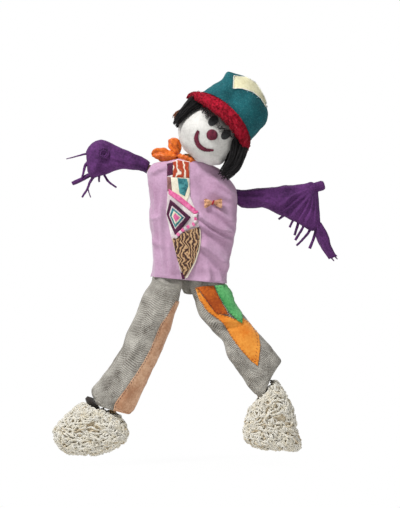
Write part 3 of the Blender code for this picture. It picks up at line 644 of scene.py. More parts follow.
# %% Stuffing bag
CALICO = cloth("calico", tone(176, 160, 128), tone(214, 200, 168), threads=700)
BAG = ((-0.060, -0.252, 0.045, -0.254, 0.018, -0.0715), (-0.100, -0.238, 0.084, -0.247, 0.030, -0.0715),
       (-0.107, -0.180, 0.100, -0.195, 0.034, -0.0715), (-0.108, -0.120, 0.104, -0.140, 0.034, -0.0715),
       (-0.098, -0.045, 0.083, -0.103, 0.034, -0.0715), (-0.072, -0.005, 0.055, -0.035, 0.030, -0.0715),
       (-0.042, 0.010, 0.012, -0.002, 0.018, -0.0715))


def make_bag():
    def lumps(point, u, v, front):
        return ripple(point, 0.035, 0.003, 5.0) * (1 if front > 0.05 else 0.3)
    bag = rolled("stuffing_bag", roll(BAG, boxy=2.5), 64, 40, CALICO, lumps, size=(0.6, 0.3), caps=True)
    return on(bag, "frame", "stuffing", "torso_stuffing")


make_bag()
smock = make_smock()
smock_tree = tree_of(smock)

# %% [markdown]
# Down the middle of the smock runs a strip pieced from printed scraps. Each scrap is its own cut
# of cloth with its own print, laid over the one before, as a quilter would build it.

# %% Scrap prints
PRINT_WHITE = cloth("scrap_white", tone(208, 190, 196), tone(246, 238, 236), threads=1200)
PRINT_PLUM = cloth("scrap_plum", tone(48, 14, 40), tone(98, 34, 74), threads=1200, cloud=60)
PRINT_TEAL = cloth("scrap_teal", tone(24, 88, 98), tone(84, 164, 168), threads=1200, cloud=60)
PRINT_PINK = cloth("scrap_pink", tone(212, 70, 136), tone(248, 140, 188), threads=1200, cloud=60)
PRINT_MAUVE = cloth("scrap_mauve", tone(116, 74, 76), tone(166, 118, 112), threads=1200, cloud=60)
CREAM_SCRAP = cloth("scrap_cream", tone(224, 214, 188), tone(250, 244, 224), threads=1200)


def leaf_lines(colors, scale, twist):
    """Wavy printed lines between three colours, as an extra step in a cloth."""
    def build(tree, place, color):
        wave = tree.nodes.new("ShaderNodeTexWave")
        wave.inputs["Scale"].default_value = scale
        wave.inputs["Distortion"].default_value = twist
        wave.inputs["Detail"].default_value = 2
        wave.inputs["Detail Scale"].default_value = 1.5
        tree.links.new(place.outputs["Object"], wave.inputs["Vector"])
        ramp = tree.nodes.new("ShaderNodeValToRGB")
        ramp.color_ramp.interpolation = "EASE"
        for i, (spot, shade) in enumerate(colors):
            stop = ramp.color_ramp.elements[i] if i < 2 else ramp.color_ramp.elements.new(spot)
            stop.position, stop.color = spot, shade
        tree.links.new(wave.outputs["Fac"], ramp.inputs[0])
        mix = tree.nodes.new("ShaderNodeMix")
        mix.data_type, mix.blend_type = "RGBA", "MULTIPLY"
        mix.inputs["Factor"].default_value = 0.35
        tree.links.new(ramp.outputs[0], mix.inputs["A"])
        tree.links.new(color, mix.inputs["B"])
        return mix.outputs["Result"]
    return build


LEAF_BANDS = ((0.30, tone(176, 62, 34)), (0.95, tone(250, 232, 214)), (0.55, tone(206, 104, 62)),
              (0.72, tone(126, 60, 62)))
GOLD_BANDS = ((0.15, tone(62, 36, 34)), (0.95, tone(216, 180, 140)), (0.45, tone(120, 84, 60)),
              (0.7, tone(168, 128, 86)))
PRINT_LEAF = cloth("scrap_leaf", tone(200, 190, 180), tone(255, 250, 245), threads=1200,
                   extra=leaf_lines(LEAF_BANDS, 17, 9))
PRINT_GOLD = cloth("scrap_gold", tone(200, 190, 170), tone(255, 250, 240), threads=500, rough=0.5, bump=0.7,
                   extra=leaf_lines(GOLD_BANDS, 30, 12))

# %% Scraps of the strip
STRIP_OUTLINE = ((-0.034, -0.307), (-0.022, -0.308), (0.006, -0.256), (0.022, -0.205), (0.020, -0.156),
                 (0.008, -0.100), (-0.008, -0.062), (-0.010, 0.044), (-0.046, 0.050), (-0.078, 0.036),
                 (-0.076, -0.060), (-0.080, -0.112), (-0.064, -0.186), (-0.046, -0.250))
SCRAPS = (
    ("leaf", PRINT_LEAF, ((-0.060, 0.042), (-0.044, 0.048), (-0.012, 0.042), (-0.010, -0.006),
                          (-0.061, -0.004))),
    ("plum_top", PRINT_PLUM, ((-0.078, 0.036), (-0.060, 0.042), (-0.060, 0.004), (-0.077, 0.000))),
    ("cream", CREAM_SCRAP, ((-0.066, -0.004), (-0.012, -0.006), (-0.008, -0.050), (-0.020, -0.084),
                            (-0.066, -0.046))),
    ("mauve_edge", PRINT_MAUVE, ((-0.077, -0.002), (-0.066, -0.004), (-0.062, -0.046), (-0.076, -0.044))),
    ("teal_wedge", PRINT_TEAL, ((-0.046, -0.006), (-0.016, -0.008), (-0.014, -0.030), (-0.024, -0.060),
                                (-0.040, -0.052))),
    ("chevron", PRINT_PINK, ((-0.072, -0.038), (-0.040, -0.058), (0.008, -0.098), (0.006, -0.114),
                             (-0.036, -0.082), (-0.072, -0.054))),
    ("gold", PRINT_GOLD, ((-0.062, -0.188), (-0.030, -0.168), (0.020, -0.150), (0.021, -0.205),
                          (0.004, -0.256), (-0.026, -0.306), (-0.046, -0.250))),
    ("diamond", PRINT_PLUM, ((-0.067, -0.070), (-0.006, -0.123), (-0.0525, -0.1785), (-0.079, -0.113))),
    ("diamond_white", PRINT_WHITE, ((-0.062, -0.088), (-0.0225, -0.123), (-0.0525, -0.158),
                                    (-0.071, -0.116))),
    ("diamond_teal", PRINT_TEAL, ((-0.0605, -0.094), (-0.0265, -0.1235), (-0.0525, -0.1535),
                                  (-0.0685, -0.117))),
    ("diamond_cream", CREAM_SCRAP, ((-0.057, -0.103), (-0.0335, -0.1235), (-0.052, -0.1445),
                                    (-0.0635, -0.119))),
    ("diamond_heart", PRINT_PINK, ((-0.053, -0.110), (-0.0385, -0.1232), (-0.0505, -0.137),
                                   (-0.059, -0.120))),
    ("maroon_foot", PRINT_PLUM, ((-0.038, -0.284), (-0.030, -0.290), (-0.023, -0.3065), (-0.033, -0.3065))))
CHAIN_PATH = ((0.010, -0.104), (0.009, -0.140), (-0.027, -0.158), (-0.060, -0.190))
CHAIN_BLOCK = 0.0095


def resampled(path, step):
    """Points a step apart along a path."""
    out, travelled, due = [], 0.0, 0.0
    for a, b in zip(path, path[1:]):
        a, b = Vector(a), Vector(b)
        run = (b - a).length
        while due <= travelled + run:
            out.append(a + (b - a) * ((due - travelled) / run))
            due += step
        travelled += run
    return out


def make_strip():
    lift = 0.0008
    base = laid("print_base", STRIP_OUTLINE, smock_tree, PRINT_WHITE, lift=lift, thick=0.0008, cell=0.007)
    parts = [base]
    for i, (label, mat, outline) in enumerate(SCRAPS):
        parts.append(laid(f"scrap_{label}", outline, smock_tree, mat, lift=lift + 0.0007 + 0.00022 * i,
                          thick=0.0006, cell=0.006))
    spots = resampled(CHAIN_PATH, CHAIN_BLOCK)
    for i, (a, b) in enumerate(zip(spots, spots[1:])):
        side = Vector((-(b - a).y, (b - a).x)).normalized() * 0.0052
        parts.append(laid(f"chain_{i}", [a + side, a - side, b - side, b + side], smock_tree,
                          PRINT_WHITE if i % 2 else PRINT_PINK, lift=lift + 0.0036, thick=0.0006, cell=0.005))
    piping = [dropped(smock_tree, x, z, 0.0028)[0] for x, z in
              resampled(((0.021, -0.156), (0.023, -0.205), (0.007, -0.256), (-0.020, -0.305)), 0.006)]
    cord = strands("strip_piping", [piping], 0.0016, CREAM_SCRAP, taper=0)
    on(cord, "frame", "print")
    joined = join("printed_strip", parts)
    return on(joined, "frame", "print", "print_strip")


def join(name, parts):
    """Several pieces of cloth as one object, each with its own material."""
    with bpy.context.temp_override(active_object=parts[0], selected_editable_objects=parts):
        bpy.ops.object.join()
    parts[0].name = parts[0].data.name = name
    return parts[0]


make_strip()

# %% [markdown]
# The bow is a scrap of tan cloth gathered in its middle by a red thread, with pleats that fan out
# from the gather.

# %% Bow on the smock
TAN = cloth("tan_scrap", tone(150, 96, 62), tone(246, 190, 148), threads=900, rough=0.6, cloud=50)
RED_THREAD = cloth("red_thread", tone(150, 24, 40), tone(214, 56, 66), uv=False, threads=500)


def make_bow():
    middle = Vector((0.058, 0, -0.081))
    seat = dropped(smock_tree, middle.x, middle.z, 0.004)[0]
    parts = []
    for side, reach, lift in ((-1, 0.024, 0.10), (1, 0.025, -0.10)):
        def place(u, v, side=side, reach=reach, lift=lift):
            spread = 0.0035 + 0.0125 * v ** 0.8 * (1 - 0.25 * max(0, v - 0.8) / 0.2)
            angle = 2 * pi * u
            thick = 0.0035 + 0.0045 * sin(pi * min(1, v * 1.1))
            pleat = 0.0016 * v * sin(7 * angle)
            x = side * (0.002 + reach * v)
            return (seat + Vector((x, thick * sin(angle) + pleat, x * lift + spread * cos(angle))),
                    Vector((0, 0, 0)), 1)
        parts.append(rolled(f"bow_{side}", place, 60, 22, TAN, size=(0.06, 0.02), caps=True))
    loop = [seat + Vector((0.0022 * cos(a), -0.0062 * sin(a) + 0.000, 0.0062 * cos(a * 1.0)))
            for a in (2 * pi * i / 14 for i in range(15))]
    knot = strands("bow_tie", [[p + Vector((0.0016 * k, 0, 0)) for p in loop] for k in (-1, 0, 1)], 0.0011,
                   RED_THREAD, taper=0)
    parts.append(knot)
    return on(join("chest_bow", parts), "frame", "bow", "bow")


make_bow()

# %% [markdown]
# The head is a ball of calico stuffed tight, leaning well over to one side. Places on it are
# given along its own two axes: r across the face, and u up towards the hat.

# %% Head
TURN = frame["joints"][[j["name"] for j in frame["joints"]].index("head_turn")]
UP = Vector(TURN["axis"]).normalized()
UP = UP if UP.z > 0 else -UP
SIDE = Vector((UP.z, 0, -UP.x))
FACING = Vector((0, -1, 0))
head_low, head_high = (Vector(corner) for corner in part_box("head"))
MIDDLE = (head_low + head_high) / 2
ACROSS, DEEP, TALL = 0.088, 0.074, 0.075
NECK_FOOT = JOINTS["head_tilt"]


def at(r, u, deep=0.0):
    """A place on the head's own axes; deep is towards the wall."""
    return MIDDLE + SIDE * r + UP * u - FACING * deep


def flat(r, u):
    spot = at(r, u)
    return spot.x, spot.z


CALICO_WHITE = cloth("head_calico", tone(186, 183, 178), tone(233, 231, 226), threads=1300, bump=0.3,
                     contrast=(0.22, 0.60), cloud=18)
HEAD_TUCKS = ((0.9, 0.0016, 7), (2.4, 0.0012, 5), (4.4, 0.0018, 8))


def head_shape(u, v):
    a = pi * (v - 0.5) * 0.99
    turn = 2 * pi * u
    side, back = -sin(turn), cos(turn)
    wide, high = power(cos(a), 0.80), power(sin(a), 0.86)
    cheek = 1 + 0.045 * exp(-((v - 0.30) / 0.15) ** 2)
    out = (SIDE * side * cos(a) / ACROSS + UP * sin(a) / TALL - FACING * back * cos(a) / DEEP).normalized()
    return at(0.003 + ACROSS * cheek * wide * side, TALL * high, DEEP * wide * back), out, max(0, -back)


def head_folds(point, u, v, front):
    """Gathers under the chin, shallow lumps, and a few tight pulls."""
    gather = 0.0022 * sin(2 * pi * 13 * u) * exp(-(v / 0.13) ** 2)
    pulls = sum(depth * sin(count * (v - 0.4) * 5 + 3 * u) * exp(-((2 * pi * u - where) / 0.5) ** 2)
                for where, depth, count in HEAD_TUCKS)
    return gather + pulls + ripple(point, 0.045, 0.0030, 2.0) + ripple(point, 0.014, 0.0009, 9.0)


def make_head():
    ball = rolled("stuffed_head", head_shape, 128, 72, CALICO_WHITE, head_folds, size=(0.52, 0.22), caps=True)
    cut_round(ball, NECK_FOOT - UP * 0.03, NECK_FOOT + UP * 0.0803, 0.0093 / 1.07)
    ball.data.shade_smooth()
    return on(ball, "head", "head_cotton", "head")


head = make_head()
head_tree = tree_of(head)

# %% Felt face
FELT_BLACK = cloth("eye_felt", tone(24, 26, 28), tone(56, 58, 60), uv=False, threads=300, bump=0.5,
                   cloud=90, speck=500, sheen=0.6)
FELT_MAROON = cloth("maroon_felt", tone(66, 10, 32), tone(122, 34, 60), uv=False, threads=300, bump=0.5,
                    cloud=90, speck=500, sheen=0.3)
DARK_THREAD = cloth("dark_thread", tone(30, 16, 24), tone(70, 40, 52), uv=False, threads=400)
OVAL_POINTS = 28


def oval(r, u, across, up, flatten=0.0):
    """An outline on the face; flatten cuts its lower right side straighter."""
    out = []
    for i in range(OVAL_POINTS):
        a = 2 * pi * i / OVAL_POINTS
        short = 1 - flatten * exp(-((a - 5.6) / 0.45) ** 2)
        out.append(flat(r + across * cos(a) * short, u + up * sin(a) * short))
    return out


def inset(outline, share):
    """The same outline pulled in towards its middle, closed for stitching."""
    mid = sum((Vector(p) for p in outline), Vector((0, 0))) / len(outline)
    small = [mid + (Vector(p) - mid) * share for p in outline]
    return small + small[:1]


def on_face(name, outline, mat, slot, node, puff, sewn=0.86):
    piece = laid(name, outline, head_tree, mat, lift=0.0005, thick=0.0014, cell=0.0022, puff=puff,
                 fray=0.0006)
    on(piece, "head", slot, node)
    thread = stitches(name + "_stitches", inset(outline, sewn), head_tree, DARK_THREAD, length=0.0022,
                      gap=0.0022, thick=0.00035, lift=0.0021 + puff * 0.8)
    on(thread, "head", slot)


on_face("felt_eye_left", oval(-0.0145, 0.041, 0.0126, 0.0180), FELT_BLACK, "eye_felt", "eye_left", 0.0012)
on_face("felt_eye_right", oval(0.0405, 0.038, 0.0120, 0.0175), FELT_BLACK, "eye_felt", "eye_right", 0.0012)
on_face("felt_nose", oval(0.0125, 0.0080, 0.0170, 0.0168, flatten=0.10), FELT_MAROON, "face_felt", "nose",
        0.0045)

SMILE = ((-0.0255, -0.0105), (-0.0205, -0.0230), (-0.0120, -0.0335), (0.0020, -0.0400), (0.0170, -0.0400),
         (0.0320, -0.0340), (0.0465, -0.0205))


def smile_outline():
    """A curved stroke, round at its ends and fullest below the nose."""
    upper, lower = [], []
    for i in range(25):
        t = i / 24
        (r, u), (r2, u2) = smooth(SMILE, t), smooth(SMILE, min(1, t + 0.01) if t < 1 else 0.99)
        way = Vector((r2 - r, u2 - u)).normalized() * (1 if t < 1 else -1)
        half = 0.0016 + 0.0052 * sin(pi * min(1, 0.08 + 0.90 * t)) ** 0.7
        upper.append(flat(r - way.y * half, u + way.x * half))
        lower.append(flat(r + way.y * half, u - way.x * half))
    return upper + lower[::-1]


on_face("felt_mouth", smile_outline(), FELT_MAROON, "face_felt", "mouth", 0.0010, sewn=0.985)

# %% [markdown]
# The hair is black wool yarn, sewn under the brim in two bunches, with a thin wispy fringe over
# the eyes. Each bunch is many strands that lie against the head and hang down beside the cheeks.

# %% Hair
WOOL_BLACK = cloth("hair_wool", tone(5, 4, 5), tone(30, 26, 28), uv=False, threads=500, bump=0.6,
                   cloud=80, speck=700, sheen=0.05, rough=0.75)
WOOL_BROWN = cloth("brown_wool", tone(70, 34, 16), tone(140, 78, 40), uv=False, threads=500, bump=0.6,
                   cloud=80, speck=700)


HAIR_RADIUS = 0.0015


def outside_head(spot, clear):
    """Moves a point out of the head's ball."""
    rel = spot - MIDDLE
    size = (rel.dot(SIDE) / ACROSS) ** 2 + (rel.dot(UP) / TALL) ** 2 + (rel.y / DEEP) ** 2
    near, normal, _, gap = head_tree.find_nearest(spot)
    if size < 0.9 or (spot - near).dot(normal) < clear:
        return near + normal * clear
    return spot


def bunch(rng, count, root, tip, sway, wave):
    """Strands from one (r, u, deep) box to another, bent outwards by sway and rippled by wave."""
    out = []
    for _ in range(count):
        side = rng.random()
        deep = rng.random()
        a = [root[0][k] + (root[1][k] - root[0][k]) * (side, rng.random(), deep)[k] for k in range(3)]
        b = [tip[0][k] + (tip[1][k] - tip[0][k]) * (side * 0.8 + 0.2 * rng.random(), rng.random(), deep)[k]
             for k in range(3)]
        phase, strand = rng.random() * 6, []
        for i in range(10):
            t = i / 9
            r, u, d = (x + (y - x) * t for x, y in zip(a, b))
            r += sway * sin(pi * t) * (0.5 + side * 0.5) + wave * sin(7 * t + phase) * t
            spot = at(r, u, d + wave * cos(6 * t + phase) * t)
            strand.append(outside_head(spot, 0.0016 + 0.004 * rng.random() * t))
        out.append(strand)
    return out


def make_hair():
    rng = random.Random(4)
    left = bunch(rng, 210, ((-0.116, 0.040, -0.050), (-0.072, 0.056, 0.030)),
                 ((-0.100, -0.046, -0.040), (-0.080, -0.020, 0.020)), -0.007, 0.0022)
    on(strands("hair_bunch_left", left, HAIR_RADIUS, WOOL_BLACK, sides=0), "head", "hair", "hair_left")
    right = bunch(rng, 230, ((0.058, 0.036, -0.058), (0.118, 0.056, 0.030)),
                  ((0.098, -0.052, -0.052), (0.142, -0.026, -0.004)), 0.010, 0.0034)
    right += bunch(rng, 40, ((0.100, -0.020, -0.040), (0.136, 0.000, 0.010)),
                   ((0.094, -0.064, -0.050), (0.140, -0.046, -0.010)), 0.002, 0.0060)
    on(strands("hair_bunch_right", right, HAIR_RADIUS, WOOL_BLACK, sides=0), "head", "hair", "hair_right")
    wisps = bunch(rng, 90, ((-0.074, 0.046, -0.072), (0.070, 0.052, -0.060)),
                  ((-0.078, 0.028, -0.082), (0.074, 0.044, -0.076)), 0.000, 0.0020)
    on(strands("hair_fringe", wisps, 0.0006, WOOL_BLACK, taper=0.8, sides=0), "head", "hair")
    tuft = bunch(rng, 26, ((-0.112, -0.004, -0.020), (-0.100, 0.006, 0.010)),
                 ((-0.116, -0.034, -0.024), (-0.098, -0.022, 0.010)), -0.003, 0.003)
    on(strands("hair_brown_tuft", tuft, 0.0011, WOOL_BROWN, sides=0), "head", "hair")


make_hair()

# %% [markdown]
# The hat is a teal wool crown with a pinched corner, and a floppy crimson brim in a looped, fuzzy
# yarn. The seam between them arches over the forehead.

# %% Hat crown
def flecks(light, amount):
    """Pale fibres scattered in a wool cloth."""
    def build(tree, place, color):
        spots = tree.nodes.new("ShaderNodeTexNoise")
        spots.inputs["Scale"].default_value = 420
        spots.inputs["Detail"].default_value = 1
        link(tree, place.outputs["Object"], spots.inputs["Vector"])
        ramp = tree.nodes.new("ShaderNodeValToRGB")
        ramp.color_ramp.elements[0].position, ramp.color_ramp.elements[1].position = 0.56, 0.74
        link(tree, spots.outputs["Fac"], ramp.inputs[0])
        mix = tree.nodes.new("ShaderNodeMix")
        mix.data_type = "RGBA"
        link(tree, maths(tree, "MULTIPLY", ramp.outputs[0], amount), mix.inputs["Factor"])
        link(tree, color, mix.inputs["A"])
        mix.inputs["B"].default_value = light
        return mix.outputs["Result"]
    return build


TEAL_WOOL = cloth("teal_wool", tone(6, 52, 62), tone(30, 112, 120), threads=420, bump=0.7, depth=0.0012,
                  contrast=(0.25, 0.68), cloud=22, extra=flecks(tone(96, 168, 172), 0.45), sheen=0.0)
CROWN = ((0.0015, 0.079, 0.1005, 0.084), (0.003, 0.098, 0.1000, 0.083), (0.006, 0.125, 0.0965, 0.081),
         (0.008, 0.150, 0.0925, 0.077), (0.003, 0.170, 0.0860, 0.070), (-0.002, 0.184, 0.0730, 0.058),
         (-0.004, 0.199, 0.0500, 0.042), (-0.004, 0.210, 0.0250, 0.022), (-0.004, 0.214, 0.0020, 0.002))


def seam_rise(back):
    """The seam of crown and brim arches up at the front and dips at the back."""
    return 0.026 * max(0, -back) ** 2 - 0.010 * max(0, back)


def crown_shape(u, v):
    mid, high, half, deep = smooth(CROWN, v)
    turn = 2 * pi * u
    side, back = power(-sin(turn), 0.86), power(cos(turn), 0.86)
    out = (SIDE * side - FACING * back).normalized() * (1 - v ** 3) + UP * v ** 3
    return at(mid + half * side, high + seam_rise(back) * (1 - v) ** 2, deep * back), out, max(0, -back)


CROWN_FOLDS = [([flat(*p) for p in path], width, height, *rest) for path, width, height, *rest in (
    (((-0.078, 0.176), (-0.060, 0.150), (-0.046, 0.112)), 0.016, 0.006),
    (((-0.034, 0.158), (-0.026, 0.130), (-0.014, 0.112)), 0.016, -0.007),
    (((0.020, 0.180), (0.030, 0.150), (0.026, 0.120)), 0.020, 0.004),
    (((0.082, 0.172), (0.070, 0.150), (0.060, 0.100)), 0.012, -0.003),
    (((-0.088, 0.120), (-0.070, 0.108), (-0.050, 0.106)), 0.008, 0.002))]


def crown_folds(point, u, v, front):
    corner = 0.009 * exp(-((u - 0.28) / 0.045) ** 2 - ((v - 0.56) / 0.10) ** 2)
    dent = -0.006 * exp(-((u - 0.37) / 0.05) ** 2 - ((v - 0.70) / 0.12) ** 2)
    cuff = 0.0016 * (v < 0.055)
    return (corner + dent + cuff + fold_height(point.x, point.z, CROWN_FOLDS) * min(1, 2 * front)
            + ripple(point, 0.030, 0.0022, 4.0) + ripple(point, 0.008, 0.0005, 8.0))


def make_crown():
    crown = rolled("hat_felt_crown", crown_shape, 150, 96, TEAL_WOOL, crown_folds, size=(0.60, 0.22))
    walled(crown, 0.0028)
    crown.data.shade_smooth()
    return on(crown, "hat", "crown_wool", "hat_crown")


# %% Hat brim
CRIMSON = cloth("crimson_wool", tone(128, 6, 26), tone(216, 20, 56), threads=260, bump=0.9, depth=0.002,
                contrast=(0.25, 0.66), cloud=26, speck=330, extra=flecks(tone(240, 96, 116), 0.35), sheen=0.0)
BRIM = ((0.0015, 0.079, 0.1010, 0.0845), (-0.001, 0.074, 0.1085, 0.0880), (-0.002, 0.064, 0.1170, 0.0905),
        (-0.003, 0.054, 0.1205, 0.0915), (-0.003, 0.0475, 0.1180, 0.0895))


def brim_shape(u, v):
    mid, high, half, deep = smooth(BRIM, v)
    turn = 2 * pi * u
    side, back = power(-sin(turn), 0.92), power(cos(turn), 0.92)
    behind, right = max(0, back), max(0, side)
    high += seam_rise(back) * (1 - v) ** 1.5 + v * 0.014 * max(0, -back) ** 3
    high -= v * (0.060 * behind * right + 0.014 * behind)
    half += 0.012 * v * behind * right
    out = SIDE * side - FACING * back - UP * 0.35 * v
    return at(mid + half * side, high, deep * back), out.normalized(), max(0, -back)


def brim_folds(point, u, v, front):
    wave = (0.0030 * sin(2 * pi * 5 * u + 0.6) + 0.0018 * sin(2 * pi * 11 * u)) * v
    return wave + ripple(point, 0.014, 0.0022, 6.0) + ripple(point, 0.005, 0.0012, 2.0)


def make_brim():
    brim = rolled("brim_wool_ring", brim_shape, 260, 26, CRIMSON, brim_folds, size=(0.66, 0.05))
    walled(brim, 0.0040)
    brim.data.shade_smooth()
    on(brim, "hat", "brim_wool", "hat_brim")
    rng = random.Random(8)
    loops = []
    for i in range(2100):
        u, v = rng.random(), rng.random() if i % 4 else 0.9 + 0.1 * rng.random()
        point, out, front = brim_shape(u, v)
        point = point + out * (brim_folds(point, u, v, front) - 0.0006)
        sideways = UP.cross(out) * rng.uniform(-1, 1) + UP * rng.uniform(-1.2, 0.5)
        sideways.normalize()
        high = rng.uniform(0.0014, 0.0030)
        loops.append([point, point + out * high + sideways * 0.0012,
                      point + out * high * 0.8 + sideways * 0.0034,
                      point + sideways * 0.0044 + out * rng.uniform(0, 0.0016)])
    on(strands("brim_wool_loops", loops, 0.00085, CRIMSON, taper=0.4, sides=0), "hat", "brim_wool")
    return brim


brim = make_brim()
crown = make_crown()
crown_tree = tree_of(crown)

# %% [markdown]
# A cream patch caps the hat, bound in white and caught down at its lower edge with pale blue
# thread.

# %% Hat patch
CREAM_PATCH = cloth("cream_patch", tone(222, 214, 168), tone(250, 246, 212), threads=700, bump=0.4)
WHITE_THREAD = cloth("white_thread", tone(226, 226, 214), tone(252, 252, 246), uv=False, threads=400)
BLUE_THREAD = cloth("blue_thread", tone(112, 170, 190), tone(176, 220, 228), uv=False, threads=400)
HAT_PATCH = ((-0.065, 0.180), (-0.0376, 0.204), (-0.004, 0.212), (0.022, 0.206), (0.046, 0.198),
             (0.074, 0.184), (0.066, 0.180), (0.0406, 0.186), (0.0123, 0.183), (-0.0188, 0.168),
             (-0.0393, 0.150))


def make_hat_patch():
    outline = [flat(*spot) for spot in HAT_PATCH]
    patch = laid("hat_cream_patch", outline, crown_tree, CREAM_PATCH, lift=0.0006, thick=0.0014, cell=0.0055)
    on(patch, "hat", "patch_cream", "hat_patch")
    rim = inset(outline, 0.975)
    on(stitches("hat_patch_binding", rim, crown_tree, WHITE_THREAD, length=0.0042, gap=0.0006, thick=0.0015,
                lift=0.0022), "hat", "patch_cream")
    lower = [flat(*spot) for spot in ((0.070, 0.178), (0.0406, 0.1835), (0.0123, 0.180), (-0.010, 0.171))]
    on(stitches("hat_patch_blue", lower, crown_tree, BLUE_THREAD, length=0.010, gap=0.007, thick=0.0008,
                lift=0.0014, slant=1.2), "hat", "patch_cream")


make_hat_patch()

# %% [markdown]
# The scarf is thin orange satin: a twisted band under the chin, and two puffed loops of its bow
# beside the neck.

# %% Scarf
SATIN = cloth("scarf_satin", tone(168, 62, 14), tone(250, 132, 44), threads=1500, rough=0.38, sheen=0.1,
              contrast=(0.22, 0.70), cloud=40, bump=0.15)


def tube_along(points, radii, pleats=5, deep=0.0012, flat_y=1.0):
    """place(u, v) round a path of points, with pleats along it."""
    rows = [(*p, r) for p, r in zip(points, radii)]

    def place(u, v):
        x, y, z, radius = smooth(rows, v)
        ahead, behind = smooth(rows, min(1, v + 0.02)), smooth(rows, max(0, v - 0.02))
        way = Vector([ahead[k] - behind[k] for k in range(3)]).normalized()
        across = way.cross(Vector((0, 1, 0))).normalized()
        other = way.cross(across)
        a = 2 * pi * u
        out = across * cos(a) + other * sin(a) * flat_y
        return Vector((x, y, z)) + out * radius, out.normalized(), 1.0

    def folds(point, u, v, front):
        return deep * sin(2 * pi * pleats * u + 5 * v) + ripple(point, 0.012, deep * 0.8, 3.0)
    return place, folds


def twisted(name, points, radii, mat, around=48, along=40, pleats=5, deep=0.0012, flat_y=1.0,
            size=(0.06, 0.1)):
    place, folds = tube_along(points, radii, pleats, deep, flat_y)
    return rolled(name, place, around, along, mat, folds, size=size, caps=True)


def make_scarf():
    low, high = (Vector(c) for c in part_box("scarf_wrap"))
    centre = Vector(((low.x + high.x) / 2, NECK_FOOT.y, NECK_FOOT.z - 0.002))
    tilt = Matrix.Rotation(radians(20), 3, "Y")
    ring = []
    for i in range(25):
        a = radians(-143 + 286 * i / 24)
        ring.append(centre + tilt @ Vector((0.0335 * sin(a), -0.0325 * cos(a), 0)))
    wrap = twisted("scarf_band", ring, [0.0072 + 0.0014 * sin(3 * i) for i in range(25)], SATIN, 30, 150,
                   pleats=4, deep=0.0009, size=(0.05, 0.2))
    on(wrap, "frame", "scarf", "scarf_wrap")
    y = NECK_FOOT.y - 0.011
    low_loop = ((-0.046, y, 0.059), (-0.058, y - 0.003, 0.060), (-0.080, y, 0.062),
                (-0.100, y + 0.002, 0.068), (-0.116, y + 0.002, 0.068), (-0.124, y + 0.003, 0.066))
    low_piece = twisted("scarf_loop_low", low_loop, (0.004, 0.0105, 0.0175, 0.0165, 0.0120, 0.003), SATIN,
                        84, 60, pleats=4, deep=0.0034, flat_y=0.8)
    on(low_piece, "frame", "scarf", "scarf_lobe_low")
    high_loop = ((-0.044, y, 0.070), (-0.047, y - 0.003, 0.080), (-0.053, y, 0.094),
                 (-0.058, y + 0.001, 0.106), (-0.058, y + 0.002, 0.113), (-0.058, y + 0.002, 0.117))
    high_piece = twisted("scarf_loop_high", high_loop, (0.005, 0.0105, 0.0165, 0.0155, 0.0115, 0.003),
                         SATIN, 84, 60, pleats=4, deep=0.0034, flat_y=0.9)
    on(high_piece, "frame", "scarf", "scarf_lobe_high")
    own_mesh(high_piece)


make_scarf()

# %% [markdown]
# The sleeves are thin purple jersey pulled over the arm sticks, gathered hard at the hands. Their
# ends are torn into ribbons that hang free.

# %% Sleeves
JERSEY = cloth("purple_jersey", tone(38, 10, 50), tone(112, 58, 126), threads=1000, sheen=0.05,
               contrast=(0.24, 0.74), bump=0.2, cloud=20)
ARM_Y = SHOULDER_L.y
SLEEVE_LEFT = [(*row, ARM_Y) for row in (
    (-0.1400, 0.0110, -0.1297, 0.0434, 0.019), (-0.150, 0.016, -0.140, 0.052, 0.023),
    (-0.178, 0.021, -0.172, 0.067, 0.026), (-0.205, 0.0245, -0.207, 0.082, 0.029),
    (-0.237, 0.018, -0.240, 0.099, 0.031), (-0.262, 0.007, -0.270, 0.111, 0.031),
    (-0.288, -0.001, -0.293, 0.108, 0.027), (-0.306, -0.005, -0.313, 0.094, 0.019),
    (-0.318, 0.018, -0.322, 0.074, 0.007))]
SLEEVE_RIGHT = [(*row, ARM_Y) for row in (
    (0.1320, -0.0811, 0.1268, -0.0385, 0.020), (0.150, -0.0915, 0.150, -0.0385, 0.025),
    (0.180, -0.094, 0.178, -0.036, 0.027), (0.212, -0.092, 0.210, -0.032, 0.028),
    (0.250, -0.110, 0.248, -0.029, 0.028), (0.288, -0.126, 0.290, -0.025, 0.026),
    (0.325, -0.146, 0.330, -0.022, 0.023), (0.357, -0.163, 0.360, -0.016, 0.020),
    (0.384, -0.148, 0.376, -0.036, 0.008))]
FOLDS_LEFT = ((((-0.226, 0.092), (-0.170, 0.062), (-0.125, 0.036)), 0.007, 0.003, 0.004),
              (((-0.262, 0.092), (-0.215, 0.070), (-0.150, 0.043)), 0.006, -0.0035),
              (((-0.252, 0.058), (-0.215, 0.048), (-0.160, 0.032)), 0.008, 0.0035, 0.005),
              (((-0.250, 0.044), (-0.222, 0.032), (-0.190, 0.028)), 0.006, 0.003),
              (((-0.258, 0.060), (-0.266, 0.080), (-0.282, 0.078), (-0.284, 0.060), (-0.270, 0.054)),
               0.006, 0.006),
              (((-0.290, 0.070), (-0.304, 0.080), (-0.314, 0.076)), 0.006, 0.003),
              (((-0.282, 0.050), (-0.292, 0.030), (-0.300, 0.006)), 0.008, 0.004),
              (((-0.270, 0.050), (-0.272, 0.030), (-0.270, 0.010)), 0.008, -0.004),
              (((-0.262, 0.096), (-0.280, 0.100), (-0.300, 0.094)), 0.006, 0.004, 0.004))
